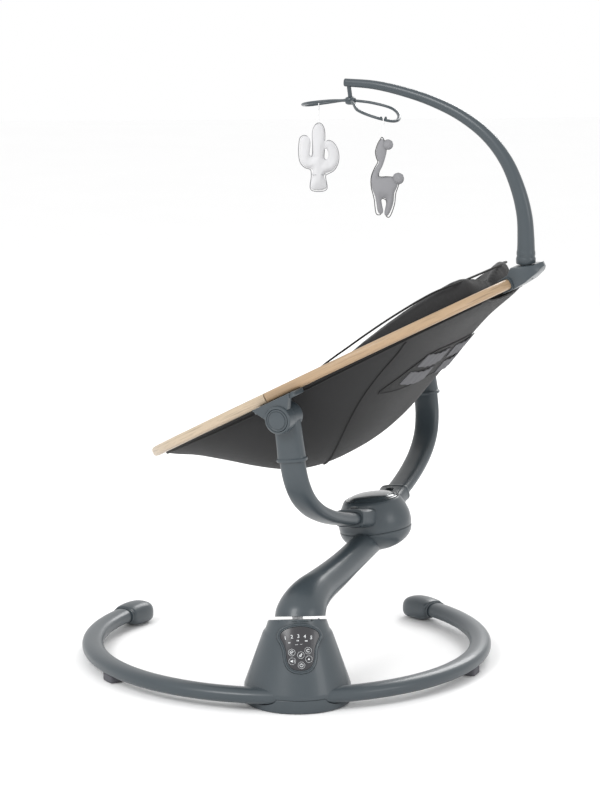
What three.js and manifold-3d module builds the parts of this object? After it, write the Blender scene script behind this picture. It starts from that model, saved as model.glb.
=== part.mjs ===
// Baby swing: a floor ring with a motor housing, a swing arm on a leaning axis, a turntable hub,
// a U-shaped yoke, a reclining oval seat and a toy bar. Millimetres, +Z up.
// Origin: the floor under the middle of the motor housing. The control panel faces -Y.
import * as THREE from 'three';
import { mergeVertices } from 'three/addons/utils/BufferGeometryUtils.js';
import Module from 'manifold-3d';

const wasm = await Module();
wasm.setup();

// ---- driving dimensions -------------------------------------------------------------------------
const GAP = 0.3;                 // clearance between fixed pieces that touch
const RUN = 0.6;                 // clearance between pieces that move on each other

// motor housing
const HOUSING_R = 78.5;          // radius at the floor
const HOUSING_TOP_R = 42.5;      // radius at the slanted top
const HOUSING_H = 121;           // height of the slanted top on the axis
const SKIRT_H = 25;              // height of the upright skirt
const TRAY_H = 20;               // height of the underside tray's rim
const WALL = 3;                  // housing wall
const AXIS_LEAN = 14.7;          // lean of the swing axis, degrees from upright

// floor ring
const RING_R = 300;              // centreline radius
const RING_MID_Y = 246;          // centre of the ring behind the housing axis
const RING_TUBE_W = 33;          // tube width
const RING_TUBE_H = 23;          // tube height
const RING_Z = 21;               // tube centre above the floor
const RING_HOLD = 4.5;           // degrees from the front at which a tube starts, inside the housing
const CAP_START = 123;           // degrees from the front at which the end caps start
const CAP_END = 136;             // degrees from the front at which the end caps end
const CAP_W = 42;                // end cap width
const PAD_AT = 64;               // degrees from the front of the front foot pads

// swing arm
const ARM_GAP = 4.5;             // open slot between housing top and arm
const ARM_R = 37.3;              // arm radius over the housing
const ARM_END_R = 21;            // arm radius at the hub
const REACH = 295;               // from the swing axis to the hub axis, arm straight back
const SWUNG = 31.1;              // how far the arm is swung to the right at rest, degrees

// turntable hub
const HUB_Z = 186;               // height of the hub seam, arm straight back
const HUB_R = 56;                // radius at the seam
const BOWL_DEPTH = 34;           // lower bowl
const SHELL_H = 47;              // upper shell, seam to the release button
const BUTTON_R = 40.6;           // release button
const HUB_LIP = 0.6;             // swell of the upper shell over the seam radius
const KEY_TOP = 48.8;            // top of the socket buttons above the seam
const KEY_T = 5.2;               // socket button height, which leaves its travel above the tube

// yoke
const YOKE_HALF = 244;           // from the hub axis to each upright, centre of the tube
const TUBE_W = 40;               // flat tube, wide side
const TUBE_T = 20;               // flat tube, thin side
const COLLAR_Z = 161;            // collar above the seam
const PIVOT_Z = 228;             // recline axis above the seam
const PIVOT_R = 20;              // pivot head radius
const PIN_R = 5;                 // pivot pin radius
const FACE_U = 275;              // outer face of the recline buttons, from the hub axis
const SPLIT_U = 256;             // plane between rim bracket cheek and pivot head
const HEAD_INNER_U = 228;        // inner face of the pivot head

// seat rim
const TILT = 19.8;               // rim plane, degrees, head end up
const RIM_UP = 37;               // rim centreline above the recline axis
const RIM_JOINT_X = -22;         // joint of both rim halves, along the seat from the recline axis
const RIM_HALF_W = 231;          // half width of the rim centreline
const RIM_HEAD = 333;            // from the rim joint to the head end, centreline
const RIM_FOOT = 315;            // from the rim joint to the foot end, centreline
const RIM_POWER = 2.2;           // roundness of the rim outline, 2 is an ellipse
const RAIL_W = 18;               // rail width in the rim plane
const RAIL_H = 15.5;             // rail height

// seat fabric
const SLING_T = 3;
const PAD_T = 12;                // leg pad thickness
const INSERT_T = 20;             // back insert thickness at its middle

// toy bar
const BAR_X = 341;               // foot of the toy bar, along the seat from the recline axis
const BAR_Z = 53;                // foot of the toy bar above the recline axis
const BAR_FOOT_W = 28;
const BAR_TIP_W = 12;
const POST_R = 3.2;
const POST_L = 20;
const WING_L = 104;              // toy spinner wing, axis to tip
const WING_W = 32;               // half width of a wing
const WING_BAR = 4.4;            // thickness of the wing's rim
const STRING_D = 1.4;
const CACTUS_DROP = 29;          // wing rim to toy
const LLAMA_DROP = 26;
const TOY_T = 18;

// ---- materials ----------------------------------------------------------------------------------
function finish(color, roughness, metalness = 0) {
  return new THREE.MeshStandardMaterial({ color, roughness, metalness });
}
const slate = () => finish(0x555f65, 0.42);
const darkSlate = () => finish(0x3c4448, 0.5);
const gloss = () => finish(0x0c0d0f, 0.12);
const wood = () => finish(0xb08e6c, 0.5);
const charcoal = () => finish(0x3a3a3b, 0.95);
const mottled = () => finish(0x55565a, 0.95);
const steel = () => finish(0xb9bcc0, 0.3, 1);
const rubber = () => finish(0x1c1d1f, 0.9);

// ---- helpers ------------------------------------------------------------------------------------
const rad = THREE.MathUtils.degToRad;
const vec = (x, y, z) => new THREE.Vector3(x, y, z);
const add = (parent, child) => { parent.add(child); return child; };

// One closed, outward facing, position-only geometry from any three.js geometry.
function closed(geometry) {
  geometry.deleteAttribute('normal');
  geometry.deleteAttribute('uv');
  const merged = mergeVertices(geometry, 1e-3);
  const p = merged.attributes.position;
  const source = merged.index.array;
  const keep = [];
  let volume = 0;
  const a = vec(0, 0, 0);
  const b = vec(0, 0, 0);
  const c = vec(0, 0, 0);
  for (let i = 0; i < source.length; i += 3) {
    const [q, r, s] = [source[i], source[i + 1], source[i + 2]];
    if (q === r || r === s || s === q) continue;
    keep.push(q, r, s);
    a.fromBufferAttribute(p, q);
    b.fromBufferAttribute(p, r);
    c.fromBufferAttribute(p, s);
    volume += a.dot(b.cross(c));
  }
  if (volume < 0) {
    for (let i = 0; i < keep.length; i += 3) [keep[i + 1], keep[i + 2]] = [keep[i + 2], keep[i + 1]];
  }
  merged.setIndex(keep);
  return merged;
}

function toSolid(geometry) {
  const g = closed(geometry);
  const vertProperties = new Float32Array(g.attributes.position.array);
  const triVerts = new Uint32Array(g.index.array);
  return new wasm.Manifold(new wasm.Mesh({ numProp: 3, vertProperties, triVerts }));
}

function fromSolid(solid) {
  const mesh = solid.getMesh();
  const g = new THREE.BufferGeometry();
  g.setAttribute('position', new THREE.BufferAttribute(new Float32Array(mesh.vertProperties), 3));
  g.setIndex(Array.from(mesh.triVerts));
  return g;
}

function cut(body, ...tools) {
  return fromSolid(tools.reduce((solid, tool) => solid.subtract(toSolid(tool)), toSolid(body)));
}

function join(...bodies) {
  return fromSolid(bodies.slice(1).reduce((solid, b) => solid.add(toSolid(b)), toSolid(bodies[0])));
}

function common(body, ...tools) {
  return fromSolid(tools.reduce((solid, tool) => solid.intersect(toSolid(tool)), toSolid(body)));
}

// A body turned about Z from [radius, height] points that start and end on the axis.
function turned(profile, segments = 28) {
  const points = profile.map(([r, z]) => new THREE.Vector2(r, z));
  return new THREE.LatheGeometry(points, segments).rotateX(Math.PI / 2);
}

// A ring turned about Z from a closed [radius, height] profile.
function turnedRing(profile, segments = 24) {
  return turned([...profile, profile[0]], segments);
}

// An upright cylinder standing on z.
function rod(radius, height, z = 0, segments = 20) {
  return new THREE.CylinderGeometry(radius, radius, height, segments)
    .rotateX(Math.PI / 2)
    .translate(0, 0, z + height / 2);
}

function box(w, d, h, x = 0, y = 0, z = 0) {
  return new THREE.BoxGeometry(w, d, h).translate(x, y, z);
}

function outline(points) {
  return new THREE.Shape(points.map(([x, y]) => new THREE.Vector2(x, y)));
}

// A closed outline round (0, 0): power 2 is an ellipse, higher powers are squarer.
function ovalPoints(w, h, power, count) {
  return Array.from({ length: count }, (unused, i) => {
    const t = (2 * Math.PI * i) / count;
    const c = Math.cos(t);
    const s = Math.sin(t);
    return [
      (w / 2) * Math.sign(c) * Math.abs(c) ** (2 / power),
      (h / 2) * Math.sign(s) * Math.abs(s) ** (2 / power),
    ];
  });
}

function roundedRect(w, h, r, steps = 3) {
  const shape = new THREE.Shape();
  const points = [];
  const corners = [[1, 1, 0], [-1, 1, 90], [-1, -1, 180], [1, -1, 270]];
  for (const [sx, sy, start] of corners) {
    for (let i = 0; i <= steps; i++) {
      const t = rad(start + (90 * i) / steps);
      points.push([sx * (w / 2 - r) + r * Math.cos(t), sy * (h / 2 - r) + r * Math.sin(t)]);
    }
  }
  shape.setFromPoints(points.map(([x, y]) => new THREE.Vector2(x, y)));
  return shape;
}

// A flat plate of an outline, from z up to z + height.
function plate(shape, height, z = 0, curveSegments = 8) {
  return new THREE.ExtrudeGeometry(shape, { depth: height, bevelEnabled: false, curveSegments })
    .translate(0, 0, z);
}

// A tube of constant section along a curve.
function along(curve, shape, steps) {
  return new THREE.ExtrudeGeometry(shape, { extrudePath: curve, steps, bevelEnabled: false });
}

// A closed body through cross-sections of equal point count.
function loft(sections) {
  const n = sections[0].length;
  const positions = sections.flat().flatMap((p) => [p.x, p.y, p.z]);
  const index = [];
  for (let i = 0; i + 1 < sections.length; i++) {
    for (let j = 0; j < n; j++) {
      const k = (j + 1) % n;
      const [a, b, c, d] = [i * n + j, i * n + k, (i + 1) * n + k, (i + 1) * n + j];
      index.push(a, b, c, a, c, d);
    }
  }
  [0, sections.length - 1].forEach((row, end) => {
    const centre = positions.length / 3;
    const mid = sections[row].reduce((sum, p) => sum.add(p), vec(0, 0, 0)).divideScalar(n);
    positions.push(mid.x, mid.y, mid.z);
    for (let j = 0; j < n; j++) {
      const [a, b] = [row * n + j, row * n + ((j + 1) % n)];
      if (end) index.push(centre, a, b);
      else index.push(centre, b, a);
    }
  });
  const g = new THREE.BufferGeometry();
  g.setAttribute('position', new THREE.Float32BufferAttribute(positions, 3));
  g.setIndex(index);
  return g;
}

// A closed body between two grids of points: an upper and a lower face.
function slab(upper, lower) {
  const rows = upper.length;
  const cols = upper[0].length;
  const positions = [...upper.flat(), ...lower.flat()].flatMap((p) => [p.x, p.y, p.z]);
  const index = [];
  const up = (i, j) => i * cols + j;
  const low = (i, j) => rows * cols + i * cols + j;
  const quad = (a, b, c, d) => index.push(a, b, c, a, c, d);
  for (let i = 0; i + 1 < rows; i++) {
    for (let j = 0; j + 1 < cols; j++) {
      quad(up(i, j), up(i + 1, j), up(i + 1, j + 1), up(i, j + 1));
      quad(low(i, j), low(i, j + 1), low(i + 1, j + 1), low(i + 1, j));
    }
    quad(up(i + 1, 0), up(i, 0), low(i, 0), low(i + 1, 0));
    quad(up(i, cols - 1), up(i + 1, cols - 1), low(i + 1, cols - 1), low(i, cols - 1));
  }
  for (let j = 0; j + 1 < cols; j++) {
    quad(up(0, j), up(0, j + 1), low(0, j + 1), low(0, j));
    quad(up(rows - 1, j + 1), up(rows - 1, j), low(rows - 1, j), low(rows - 1, j + 1));
  }
  const g = new THREE.BufferGeometry();
  g.setAttribute('position', new THREE.Float32BufferAttribute(positions, 3));
  g.setIndex(index);
  return g;
}

// A smooth function through [x, value] pairs in rising x.
function smooth(pairs) {
  return (x) => {
    if (x <= pairs[0][0]) return pairs[0][1];
    const last = pairs.length - 1;
    if (x >= pairs[last][0]) return pairs[last][1];
    const i = pairs.findIndex(([px], k) => x >= px && x < pairs[k + 1][0]);
    const slope = (k) => {
      const [a, b] = [pairs[Math.max(k - 1, 0)], pairs[Math.min(k + 1, last)]];
      return (b[1] - a[1]) / (b[0] - a[0]);
    };
    const [[x0, y0], [x1, y1]] = [pairs[i], pairs[i + 1]];
    const h = x1 - x0;
    const t = (x - x0) / h;
    const [t2, t3] = [t * t, t * t * t];
    return (2 * t3 - 3 * t2 + 1) * y0 + (t3 - 2 * t2 + t) * h * slope(i)
      + (-2 * t3 + 3 * t2) * y1 + (t3 - t2) * h * slope(i + 1);
  };
}

function piece(parent, name, geometry, material) {
  const mesh = new THREE.Mesh(closed(geometry), material);
  mesh.name = name;
  return add(parent, mesh);
}

function frameAt(parent, name, position, turn = [0, 0, 0]) {
  const group = new THREE.Group();
  group.name = name;
  group.position.copy(position);
  group.rotation.set(...turn.map(rad));
  return add(parent, group);
}

// ---- frames -------------------------------------------------------------------------------------
const swing = new THREE.Group();
swing.name = 'baby_swing';
const SIDES = [['near', -1], ['far', 1]];
const HANDS = [['left', -1], ['right', 1]];

const axisFoot = vec(0, 0, HOUSING_H);
const axisDirection = vec(0, Math.sin(rad(AXIS_LEAN)), Math.cos(rad(AXIS_LEAN)));

// Arm frame: the arm reaches straight back along +Y here, and the frame is swung as a whole.
const armFrame = frameAt(swing, 'arm_frame', axisFoot);
armFrame.quaternion.setFromAxisAngle(axisDirection, -rad(SWUNG));

// Carrier frame: on the hub axis at the seam. +X is the seat's head end, +Y the far side.
const carrier = frameAt(armFrame, 'carrier_frame', vec(0, REACH, HUB_Z - HOUSING_H));

// Seat frame: on the recline axis, tilted with the rim. +X runs along the rim to the head end.
const seatFrame = frameAt(carrier, 'seat_frame', vec(0, 0, PIVOT_Z), [0, -TILT, 0]);

// Toy bar frame: upright at this recline, at the bar's foot.
const barFrame = frameAt(seatFrame, 'bar_frame', vec(BAR_X, 0, BAR_Z), [0, TILT, 0]);

// A body between a plane and the open space above it, to trim a piece along the leaning top.
function aboveSlant(offset) {
  return box(400, 400, 200, 0, 0, 100)
    .rotateX(-rad(AXIS_LEAN))
    .translate(0, offset * axisDirection.y, HOUSING_H + offset * axisDirection.z);
}

// ---- floor ring ---------------------------------------------------------------------------------
class RingArc extends THREE.Curve {
  constructor(side, from, to, z) {
    super();
    Object.assign(this, { side, from, to, z });
  }

  getPoint(t, target = vec(0, 0, 0)) {
    const a = rad(this.from + (this.to - this.from) * t);
    const x = this.side * RING_R * Math.sin(a);
    return target.set(x, RING_MID_Y - RING_R * Math.cos(a), this.z);
  }
}

// The tube is a flattened oval with a faint ridge at its widest line.
const ringSection = (grow) =>
  outline(ovalPoints(RING_TUBE_H + 2 * grow, RING_TUBE_W + 2 * grow, 2.2, 12));

function ringTube(side, grow = 0, from = RING_HOLD) {
  const curve = new RingArc(side, from, CAP_START, RING_Z);
  return along(curve, ringSection(grow), 22);
}

// The end cap thickens, droops to the floor and closes in a rounded nose.
function endCap(side) {
  const count = 16;
  const stations = [[0, 0], [0.04, 0.72], [0.14, 1], [0.55, 1.04], [0.8, 0.9], [0.93, 0.66], [1, 0.28]];
  const sections = stations.map(([t, size]) => {
    const a = rad(CAP_START + GAP / 5 + (CAP_END - CAP_START) * t);
    const width = (size || 0.9) * CAP_W;
    const top = RING_Z + (size ? 16 * size : 12.5);
    const droop = Math.min(1, t * 3);
    const base = THREE.MathUtils.lerp(RING_Z - RING_TUBE_H / 2, (1 - size) * 9, droop);
    return ovalPoints(width, top - base, 2.5, count).map(([r, h]) => {
      const radius = RING_R + r;
      const x = side * radius * Math.sin(a);
      return vec(x, RING_MID_Y - radius * Math.cos(a), (top + base) / 2 + h);
    });
  });
  return cut(loft(sections), box(1000, 1000, 20, 0, 0, -10));
}

// ---- motor housing ------------------------------------------------------------------------------
function housingBody(inset) {
  const top = HOUSING_H + 40;
  const slope = (HOUSING_R - HOUSING_TOP_R) / (HOUSING_H - SKIRT_H);
  const upperR = HOUSING_TOP_R - slope * (top - HOUSING_H);
  return turned([
    [0, inset ? -1 : TRAY_H],
    [HOUSING_R - inset, inset ? -1 : TRAY_H],
    [HOUSING_R - inset, SKIRT_H - inset * 0.3],
    [upperR - inset, top],
    [0, top],
  ], 28);
}

// Outline of the control panel: a wide arched top that narrows to a round chin.
function panelOutline(grow) {
  const half = smooth([[-31, 0], [-29, 9.5], [-24, 16], [-14, 20], [0, 21.5], [12, 25.5], [19, 29],
    [24, 28], [28.5, 24], [33, 12], [34.5, 0]]);
  const levels = [-31, -30, -27.5, -23, -14, -4, 6, 14, 19, 23, 27, 30.5, 33.2, 34.5];
  const right = levels.map((z) => [half(z), z]);
  const left = right.slice(1, -1).reverse().map(([x, z]) => [-x, z]);
  return outline([...right, ...left].map(([x, z]) => {
    const length = Math.hypot(x, z);
    return [x * (1 + grow / length), z * (1 + grow / length)];
  }));
}

const PANEL_Z = 90;              // middle height of the panel
const PANEL_SLOPE = Math.atan2(HOUSING_R - HOUSING_TOP_R, HOUSING_H - SKIRT_H);
const PANEL_Y = -(HOUSING_TOP_R + (HOUSING_H - PANEL_Z) * Math.tan(PANEL_SLOPE));
const BEZEL_W = 2.6;
const PANEL_RISE = 1.2;          // the panel's flat face in front of the cone's front line

// Places a plate made in the XY plane (thickness +Z) on the front slope of the housing.
function onFront(geometry) {
  return geometry
    .rotateX(Math.PI / 2 - PANEL_SLOPE)
    .translate(0, PANEL_Y, PANEL_Z);
}

const INLET_W = 13;
const INLET_H = 11;
const INLET_Z = 36;
const BEARING_R = 14;
const SPINDLE_R = 8;
const GEAR_MODULE = 2;
const GEAR_TEETH = 24;
const PINION_TEETH = 7;
const GEAR_DROP = 32;            // gear's upper face below the housing top, along the axis
const GEAR_T = 7;
const MOTOR_R = 14;

// Places a geometry made round Z on the leaning swing axis, with z = 0 on the housing top.
function onAxis(geometry) {
  return geometry.rotateX(-rad(AXIS_LEAN)).translate(0, 0, HOUSING_H);
}

function motorHousing() {
  let body = cut(housingBody(0), aboveSlant(0));
  const inner = cut(housingBody(WALL), aboveSlant(-WALL));
  const pocket = onFront(plate(panelOutline(BEZEL_W + GAP), 40, -9));
  const bearingHole = onAxis(rod(BEARING_R + GAP, 40, -20));
  const inlet = box(INLET_W + 2 * GAP, 40, INLET_H + 2 * GAP, 0, HOUSING_R, INLET_Z);
  const boss = common(
    housingBody(0),
    onFront(plate(panelOutline(BEZEL_W + 3), 16, -12)),
    cut(box(400, 400, 300, 0, 0, 150), aboveSlant(0)),
  );
  body = join(cut(body, inner), boss);
  return cut(body, pocket, bearingHole, inlet, ringTube(1, GAP, 0), ringTube(-1, GAP, 0));
}

const SCREW_AT = [60, 120, 255, 285];
const SCREW_CIRCLE = 60;

function roundScrews(make) {
  return SCREW_AT.map((a) =>
    make().translate(SCREW_CIRCLE * Math.cos(rad(a)), SCREW_CIRCLE * Math.sin(rad(a)), 0));
}

function underTray() {
  const body = turned([
    [0, 0], [HOUSING_R - 1.5, 0], [HOUSING_R, 1.5], [HOUSING_R, TRAY_H - GAP],
    [HOUSING_R - WALL, TRAY_H - GAP], [HOUSING_R - WALL, 4], [0, 4],
  ], 40);
  const bosses = roundScrews(() => rod(5, 6, 3.5, 12));
  const holes = roundScrews(() => rod(2 + GAP, 20, -5, 8));
  return cut(join(body, ...bosses), ...holes, ringTube(1, GAP, 0), ringTube(-1, GAP, 0));
}

// A spur gear with straight-sided teeth and wide backlash, one tooth pointing along +X.
function spurGear(teeth, thickness, z) {
  const pitchR = (teeth * GEAR_MODULE) / 2;
  const [tip, root] = [pitchR + GEAR_MODULE / 2, pitchR - GEAR_MODULE * 0.6];
  const points = [];
  for (let i = 0; i < teeth; i++) {
    for (const [share, r] of [[-0.19, root], [-0.09, tip], [0.09, tip], [0.19, root]]) {
      const a = (2 * Math.PI * (i + share)) / teeth;
      points.push([r * Math.cos(a), r * Math.sin(a)]);
    }
  }
  return plate(outline(points), thickness, z);
}

function buildBase(parent) {
  piece(parent, 'motor_housing', motorHousing(), slate());
  piece(parent, 'under_tray', underTray(), darkSlate());
  roundScrews(() => rod(2, 14, 1, 8)).forEach((screw, i) => {
    piece(parent, `tray_screw_${i + 1}`, screw, steel());
  });
  for (const [hand, side] of HANDS) {
    piece(parent, `ring_tube_${hand}`, ringTube(side), slate());
    piece(parent, `ring_end_cap_${hand}`, endCap(side), slate());
    piece(parent, `foot_pad_${hand}`, footPad(side), rubber());
  }
  const bezel = cut(
    onFront(plate(panelOutline(BEZEL_W), 4.2, -3)),
    onFront(plate(panelOutline(0), 20, -10)),
  );
  piece(parent, 'panel_bezel', bezel, slate());
  piece(parent, 'control_panel', onFront(plate(panelOutline(-GAP), 3.6, -3)), gloss());
  piece(parent, 'circuit_board', onFront(plate(roundedRect(34, 46, 2), 1.6, -7.5)), finish(0x1f5a3a, 0.6));
  piece(parent, 'power_inlet', cut(
    box(INLET_W, 16, INLET_H, 0, HOUSING_R - 16, INLET_Z),
    rod(3.2, 20, 0, 16).rotateX(-Math.PI / 2).translate(0, HOUSING_R - 19, INLET_Z),
  ), rubber());
  piece(parent, 'speaker', turned([[0, 0], [10, 0], [10, 5], [20, 10], [20, 12], [0, 12]], 28)
    .translate(0, 34, 4 + GAP), darkSlate());
  piece(parent, 'spindle_bearing', onAxis(turnedRing([
    [SPINDLE_R + RUN, -9], [BEARING_R, -9], [BEARING_R, 0], [SPINDLE_R + RUN, 0],
  ])), steel());
  const motorX = ((GEAR_TEETH + PINION_TEETH) * GEAR_MODULE) / 2 + 0.3;
  const motor = join(
    rod(MOTOR_R, 36, -GEAR_DROP - GEAR_T - 38),
    rod(5, 1.5, -GEAR_DROP - GEAR_T - 2.2, 16),
  );
  piece(parent, 'drive_motor', onAxis(motor.translate(motorX, 0, 0)), steel());
  const pinionFrame = frameAt(parent, 'pinion_frame', vec(motorX, 0, HOUSING_H));
  pinionFrame.rotation.x = -rad(AXIS_LEAN);
  piece(pinionFrame, 'motor_pinion', spurGear(PINION_TEETH, GEAR_T - GAP, -GEAR_DROP - GEAR_T), steel());
}

function footPad(side) {
  const low = new RingArc(side, PAD_AT - 3, PAD_AT + 3, (RING_Z - RING_TUBE_H / 2 + 4) / 2);
  const block = along(low, roundedRect(RING_Z - RING_TUBE_H / 2 + 4, 24, 3), 6);
  return cut(block, ringTube(side, GAP));
}

// ---- swing arm ----------------------------------------------------------------------------------
// Heights in the arm frame are measured from the housing top.
const ARM_START_Y = 9;

function armSections(inset) {
  const startZ = (ARM_GAP - ARM_START_Y * axisDirection.y) / axisDirection.z;
  const stations = [
    [ARM_START_Y, startZ, ARM_R, AXIS_LEAN],
    [16, startZ + 9, ARM_R - 0.8, 24],
    [31, startZ + 17, ARM_R - 4, 45],
    [55, startZ + 22.5, 29.5, 68],
    [85, startZ + 26, 26, 80],
    [138, startZ + 31, ARM_END_R + 2.4, 83],
    [193, startZ + 38, ARM_END_R + 0.6, 82],
    [REACH - 4, startZ + 52, ARM_END_R, 81],
  ];
  return stations.map(([y, z, r, lean], i) => {
    const [s, c] = [Math.sin(rad(lean)), Math.cos(rad(lean))];
    const back = inset && i === 0 ? 2 : 0;
    return ovalPoints(2 * (r - inset), 2 * (r - inset), 2, 18)
      .map(([u, v]) => vec(u, y + v * c - back * s, z - v * s - back * c));
  });
}

function hubBowl(grow) {
  const z = HUB_Z - HOUSING_H;
  const arcs = [0, 16, 34, 54, 74].map((a) =>
    [(HUB_R + grow) * Math.cos(rad(a)), z - (BOWL_DEPTH + grow) * Math.sin(rad(a))]);
  return [...arcs, [0, z - BOWL_DEPTH - grow]];
}

function buildArm(parent) {
  const hub = (geometry) => geometry.translate(0, REACH, 0);
  const seam = HUB_Z - HOUSING_H;
  const shellRoom = HUB_R + HUB_LIP + RUN + GAP;
  const bowlSolid = hub(turned([[0, seam + 60], [shellRoom, seam + 60], [shellRoom, seam],
    ...hubBowl(GAP)], 28));
  const inside = loft(armSections(WALL));
  const shaftPocket = rod(SPINDLE_R + GAP, 30, -10).rotateX(-rad(AXIS_LEAN));
  piece(parent, 'swing_arm', cut(loft(armSections(0)), bowlSolid, armHollow(inside), shaftPocket), slate());
  const innerBowl = [[0, seam + 1], [HUB_R - WALL, seam + 1],
    ...hubBowl(-WALL).slice(0, -1), [0, seam - BOWL_DEPTH + WALL]];
  piece(parent, 'hub_lower_bowl', cut(
    hub(turned([[0, seam], ...hubBowl(0)], 28)),
    hub(turned(innerBowl, 48)),
  ), slate());
  piece(parent, 'turntable_post', hub(turned([
    [0, seam - BOWL_DEPTH + WALL + 2], [20, seam - BOWL_DEPTH + WALL + 5], [20, seam - 8], [12, seam - 6],
    [12, seam + 24], [0, seam + 24],
  ], 32)), steel());
  piece(parent, 'drive_spindle', rod(SPINDLE_R, GEAR_DROP + 18, -GEAR_DROP)
    .rotateX(-rad(AXIS_LEAN)), steel());
  piece(parent, 'drive_gear', spurGear(GEAR_TEETH, GEAR_T - GAP, -GEAR_DROP - GEAR_T)
    .rotateZ(rad(SWUNG)).rotateX(-rad(AXIS_LEAN)), finish(0xd8d4c8, 0.5));
}

// The arm is hollow over its wide lower half only; its floor keeps a plate round the spindle.
function armHollow(inside) {
  const floor = box(200, 200, 60, 0, 0, -30 + ARM_GAP + 14).rotateX(-rad(AXIS_LEAN));
  const beyond = box(200, 200, 200, 0, 100 + 215, 0);
  return cut(inside, floor, beyond);
}

// ---- turntable hub and yoke ---------------------------------------------------------------------
// Heights in the carrier frame are measured from the hub seam.
const SHELL_PROFILE = [[HUB_R, RUN], [HUB_R + HUB_LIP, 9], [HUB_R - 0.8, 20], [HUB_R - 4.5, 31],
  [HUB_R - 9, 40], [BUTTON_R + 1.6, SHELL_H]];
const SOCKET_Z = 33;
const SOCKET_RISE = 13;          // slope of the sockets, degrees
const SOCKET_W = 48;
const SOCKET_H = 27;
const SOCKET_END = 86;
const TUBE_FOOT = [62, 29.5];    // start of a yoke tube: out from the hub axis, above the seam
const TUBE_TOP = COLLAR_Z + 22;
const KEY_AT = 66;               // socket buttons, out from the hub axis
const [KEY_W, KEY_D] = [11, 7];

class YokeCurve extends THREE.Curve {
  constructor(side) {
    super();
    const points = [TUBE_FOOT, [98, 37.5], [130, 46.5], [163, 58.5], [199, 77], [226, 101], [240, 129],
      [YOKE_HALF, COLLAR_Z - 2], [YOKE_HALF, TUBE_TOP]];
    this.path = new THREE.CatmullRomCurve3(points.map(([u, z]) => vec(0, side * u, z)));
  }

  getPoint(t, target) {
    return this.path.getPoint(t, target);
  }
}

function flatTube(side, grow = 0) {
  const shape = outline(ovalPoints(TUBE_W + 2 * grow, TUBE_T + 2 * grow, 2.6, 14));
  return along(new YokeCurve(side), shape, 20);
}

// Room for a yoke tube, with clearance past both of its ends too.
function tubeRoom(side) {
  const [width, depth] = [TUBE_W + 2 * GAP, TUBE_T + 2 * GAP];
  return [
    flatTube(side, GAP),
    box(width, 2 * GAP, depth).rotateX(side * rad(SOCKET_RISE))
      .translate(0, side * TUBE_FOOT[0], TUBE_FOOT[1]),
    box(width, depth, 2 * GAP, 0, side * YOKE_HALF, TUBE_TOP),
  ];
}

function socket(side) {
  const length = SOCKET_END - 40;
  const sleeve = along(new THREE.LineCurve3(vec(0, 0, 0), vec(0, length, 0)),
    roundedRect(SOCKET_W, SOCKET_H, 9, 3), 1);
  return sleeve.rotateX(rad(SOCKET_RISE)).translate(0, 40, SOCKET_Z - 8).rotateZ(side < 0 ? Math.PI : 0);
}

function hubShell() {
  const outer = turned([[0, RUN], ...SHELL_PROFILE, [0, SHELL_H]], 28);
  const inner = turned([[0, -2], ...SHELL_PROFILE.map(([r, z]) => [r - WALL, z <= RUN ? -2 : z - 0.5]),
    [0, SHELL_H - 0.5]], 28);
  const mouth = rod(BUTTON_R + GAP, 40, 26, 28);
  const web = cut(rod(HUB_R - 1.5, 4, 14, 28), rod(12 + RUN, 20, 8));
  return join(cut(outer, inner, mouth), web);
}

function tubeButton(side) {
  return plate(roundedRect(KEY_W, KEY_D, 2.2), KEY_T, KEY_TOP - KEY_T).translate(0, side * KEY_AT, 0);
}

function buildCarrier(parent) {
  const shell = hubShell();
  const sockets = SIDES.map(([, side]) => socket(side));
  const tubes = SIDES.flatMap(([, side]) => tubeRoom(side));
  const wells = SIDES.map(([, side]) =>
    box(KEY_W + 2 * GAP, KEY_D + 2 * GAP, 14, 0, side * KEY_AT, KEY_TOP - 1));
  const hollow = turned([[0, 4], [HUB_R - WALL, 4], [HUB_R - WALL - 2, 22], [BUTTON_R + GAP, 36],
    [BUTTON_R + GAP, 70], [0, 70]], 28);
  const outerSockets = sockets.map((s) => cut(s, hollow));
  piece(parent, 'hub_upper_shell', cut(join(shell, ...outerSockets), ...tubes, ...wells), slate());
  SIDES.forEach(([name, side]) => {
    piece(parent, `yoke_tube_${name}`, flatTube(side), slate());
    piece(parent, `pivot_head_${name}`, pivotHead(side), slate());
    const button = frameAt(parent, `tube_button_${name}_frame`, vec(0, 0, 0));
    piece(button, `tube_button_${name}`, tubeButton(side), darkSlate());
  });
  const press = frameAt(parent, 'hub_button_frame', vec(0, 0, SHELL_H));
  piece(press, 'hub_button', turned([[0, -7], [BUTTON_R - 4, -7], [BUTTON_R, -5], [BUTTON_R, 0.6],
    [BUTTON_R - 3, 2.4], [30, 5.2], [20, 7], [10, 8], [0, 8.3]], 28), slate());
  piece(parent, 'button_spring', turnedRing([
    [14, 18 + GAP], [17, 18 + GAP], [17, 35], [14, 35],
  ]), steel());
}

// Pivot head: a round boss on the recline axis with a neck that takes the yoke tube.
function pivotHead(side) {
  const depth = SPLIT_U - RUN - HEAD_INNER_U;
  const middle = HEAD_INNER_U + depth / 2;
  const boss = rod(PIVOT_R, depth, -depth / 2, 24).rotateX(Math.PI / 2);
  const neck = loft([[COLLAR_Z, 46, 27], [COLLAR_Z + 5, 46, 27], [COLLAR_Z + 6, 44, 25],
    [PIVOT_Z - 22, 41, 24.5], [PIVOT_Z - 4, 38, depth]].map(([z, w, d], i) =>
    ovalPoints(w, d, 2.8, 14).map(([x, u]) =>
      vec(x, u + (i < 3 ? YOKE_HALF : i < 4 ? YOKE_HALF - 1 : middle) - middle, z - PIVOT_Z))));
  const bore = rod(PIN_R + RUN, 80, -40, 20).rotateX(Math.PI / 2);
  const head = cut(join(boss, neck), bore).rotateZ(side < 0 ? Math.PI : 0)
    .translate(0, side * middle, PIVOT_Z);
  return cut(head, ...tubeRoom(side));
}

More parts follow.
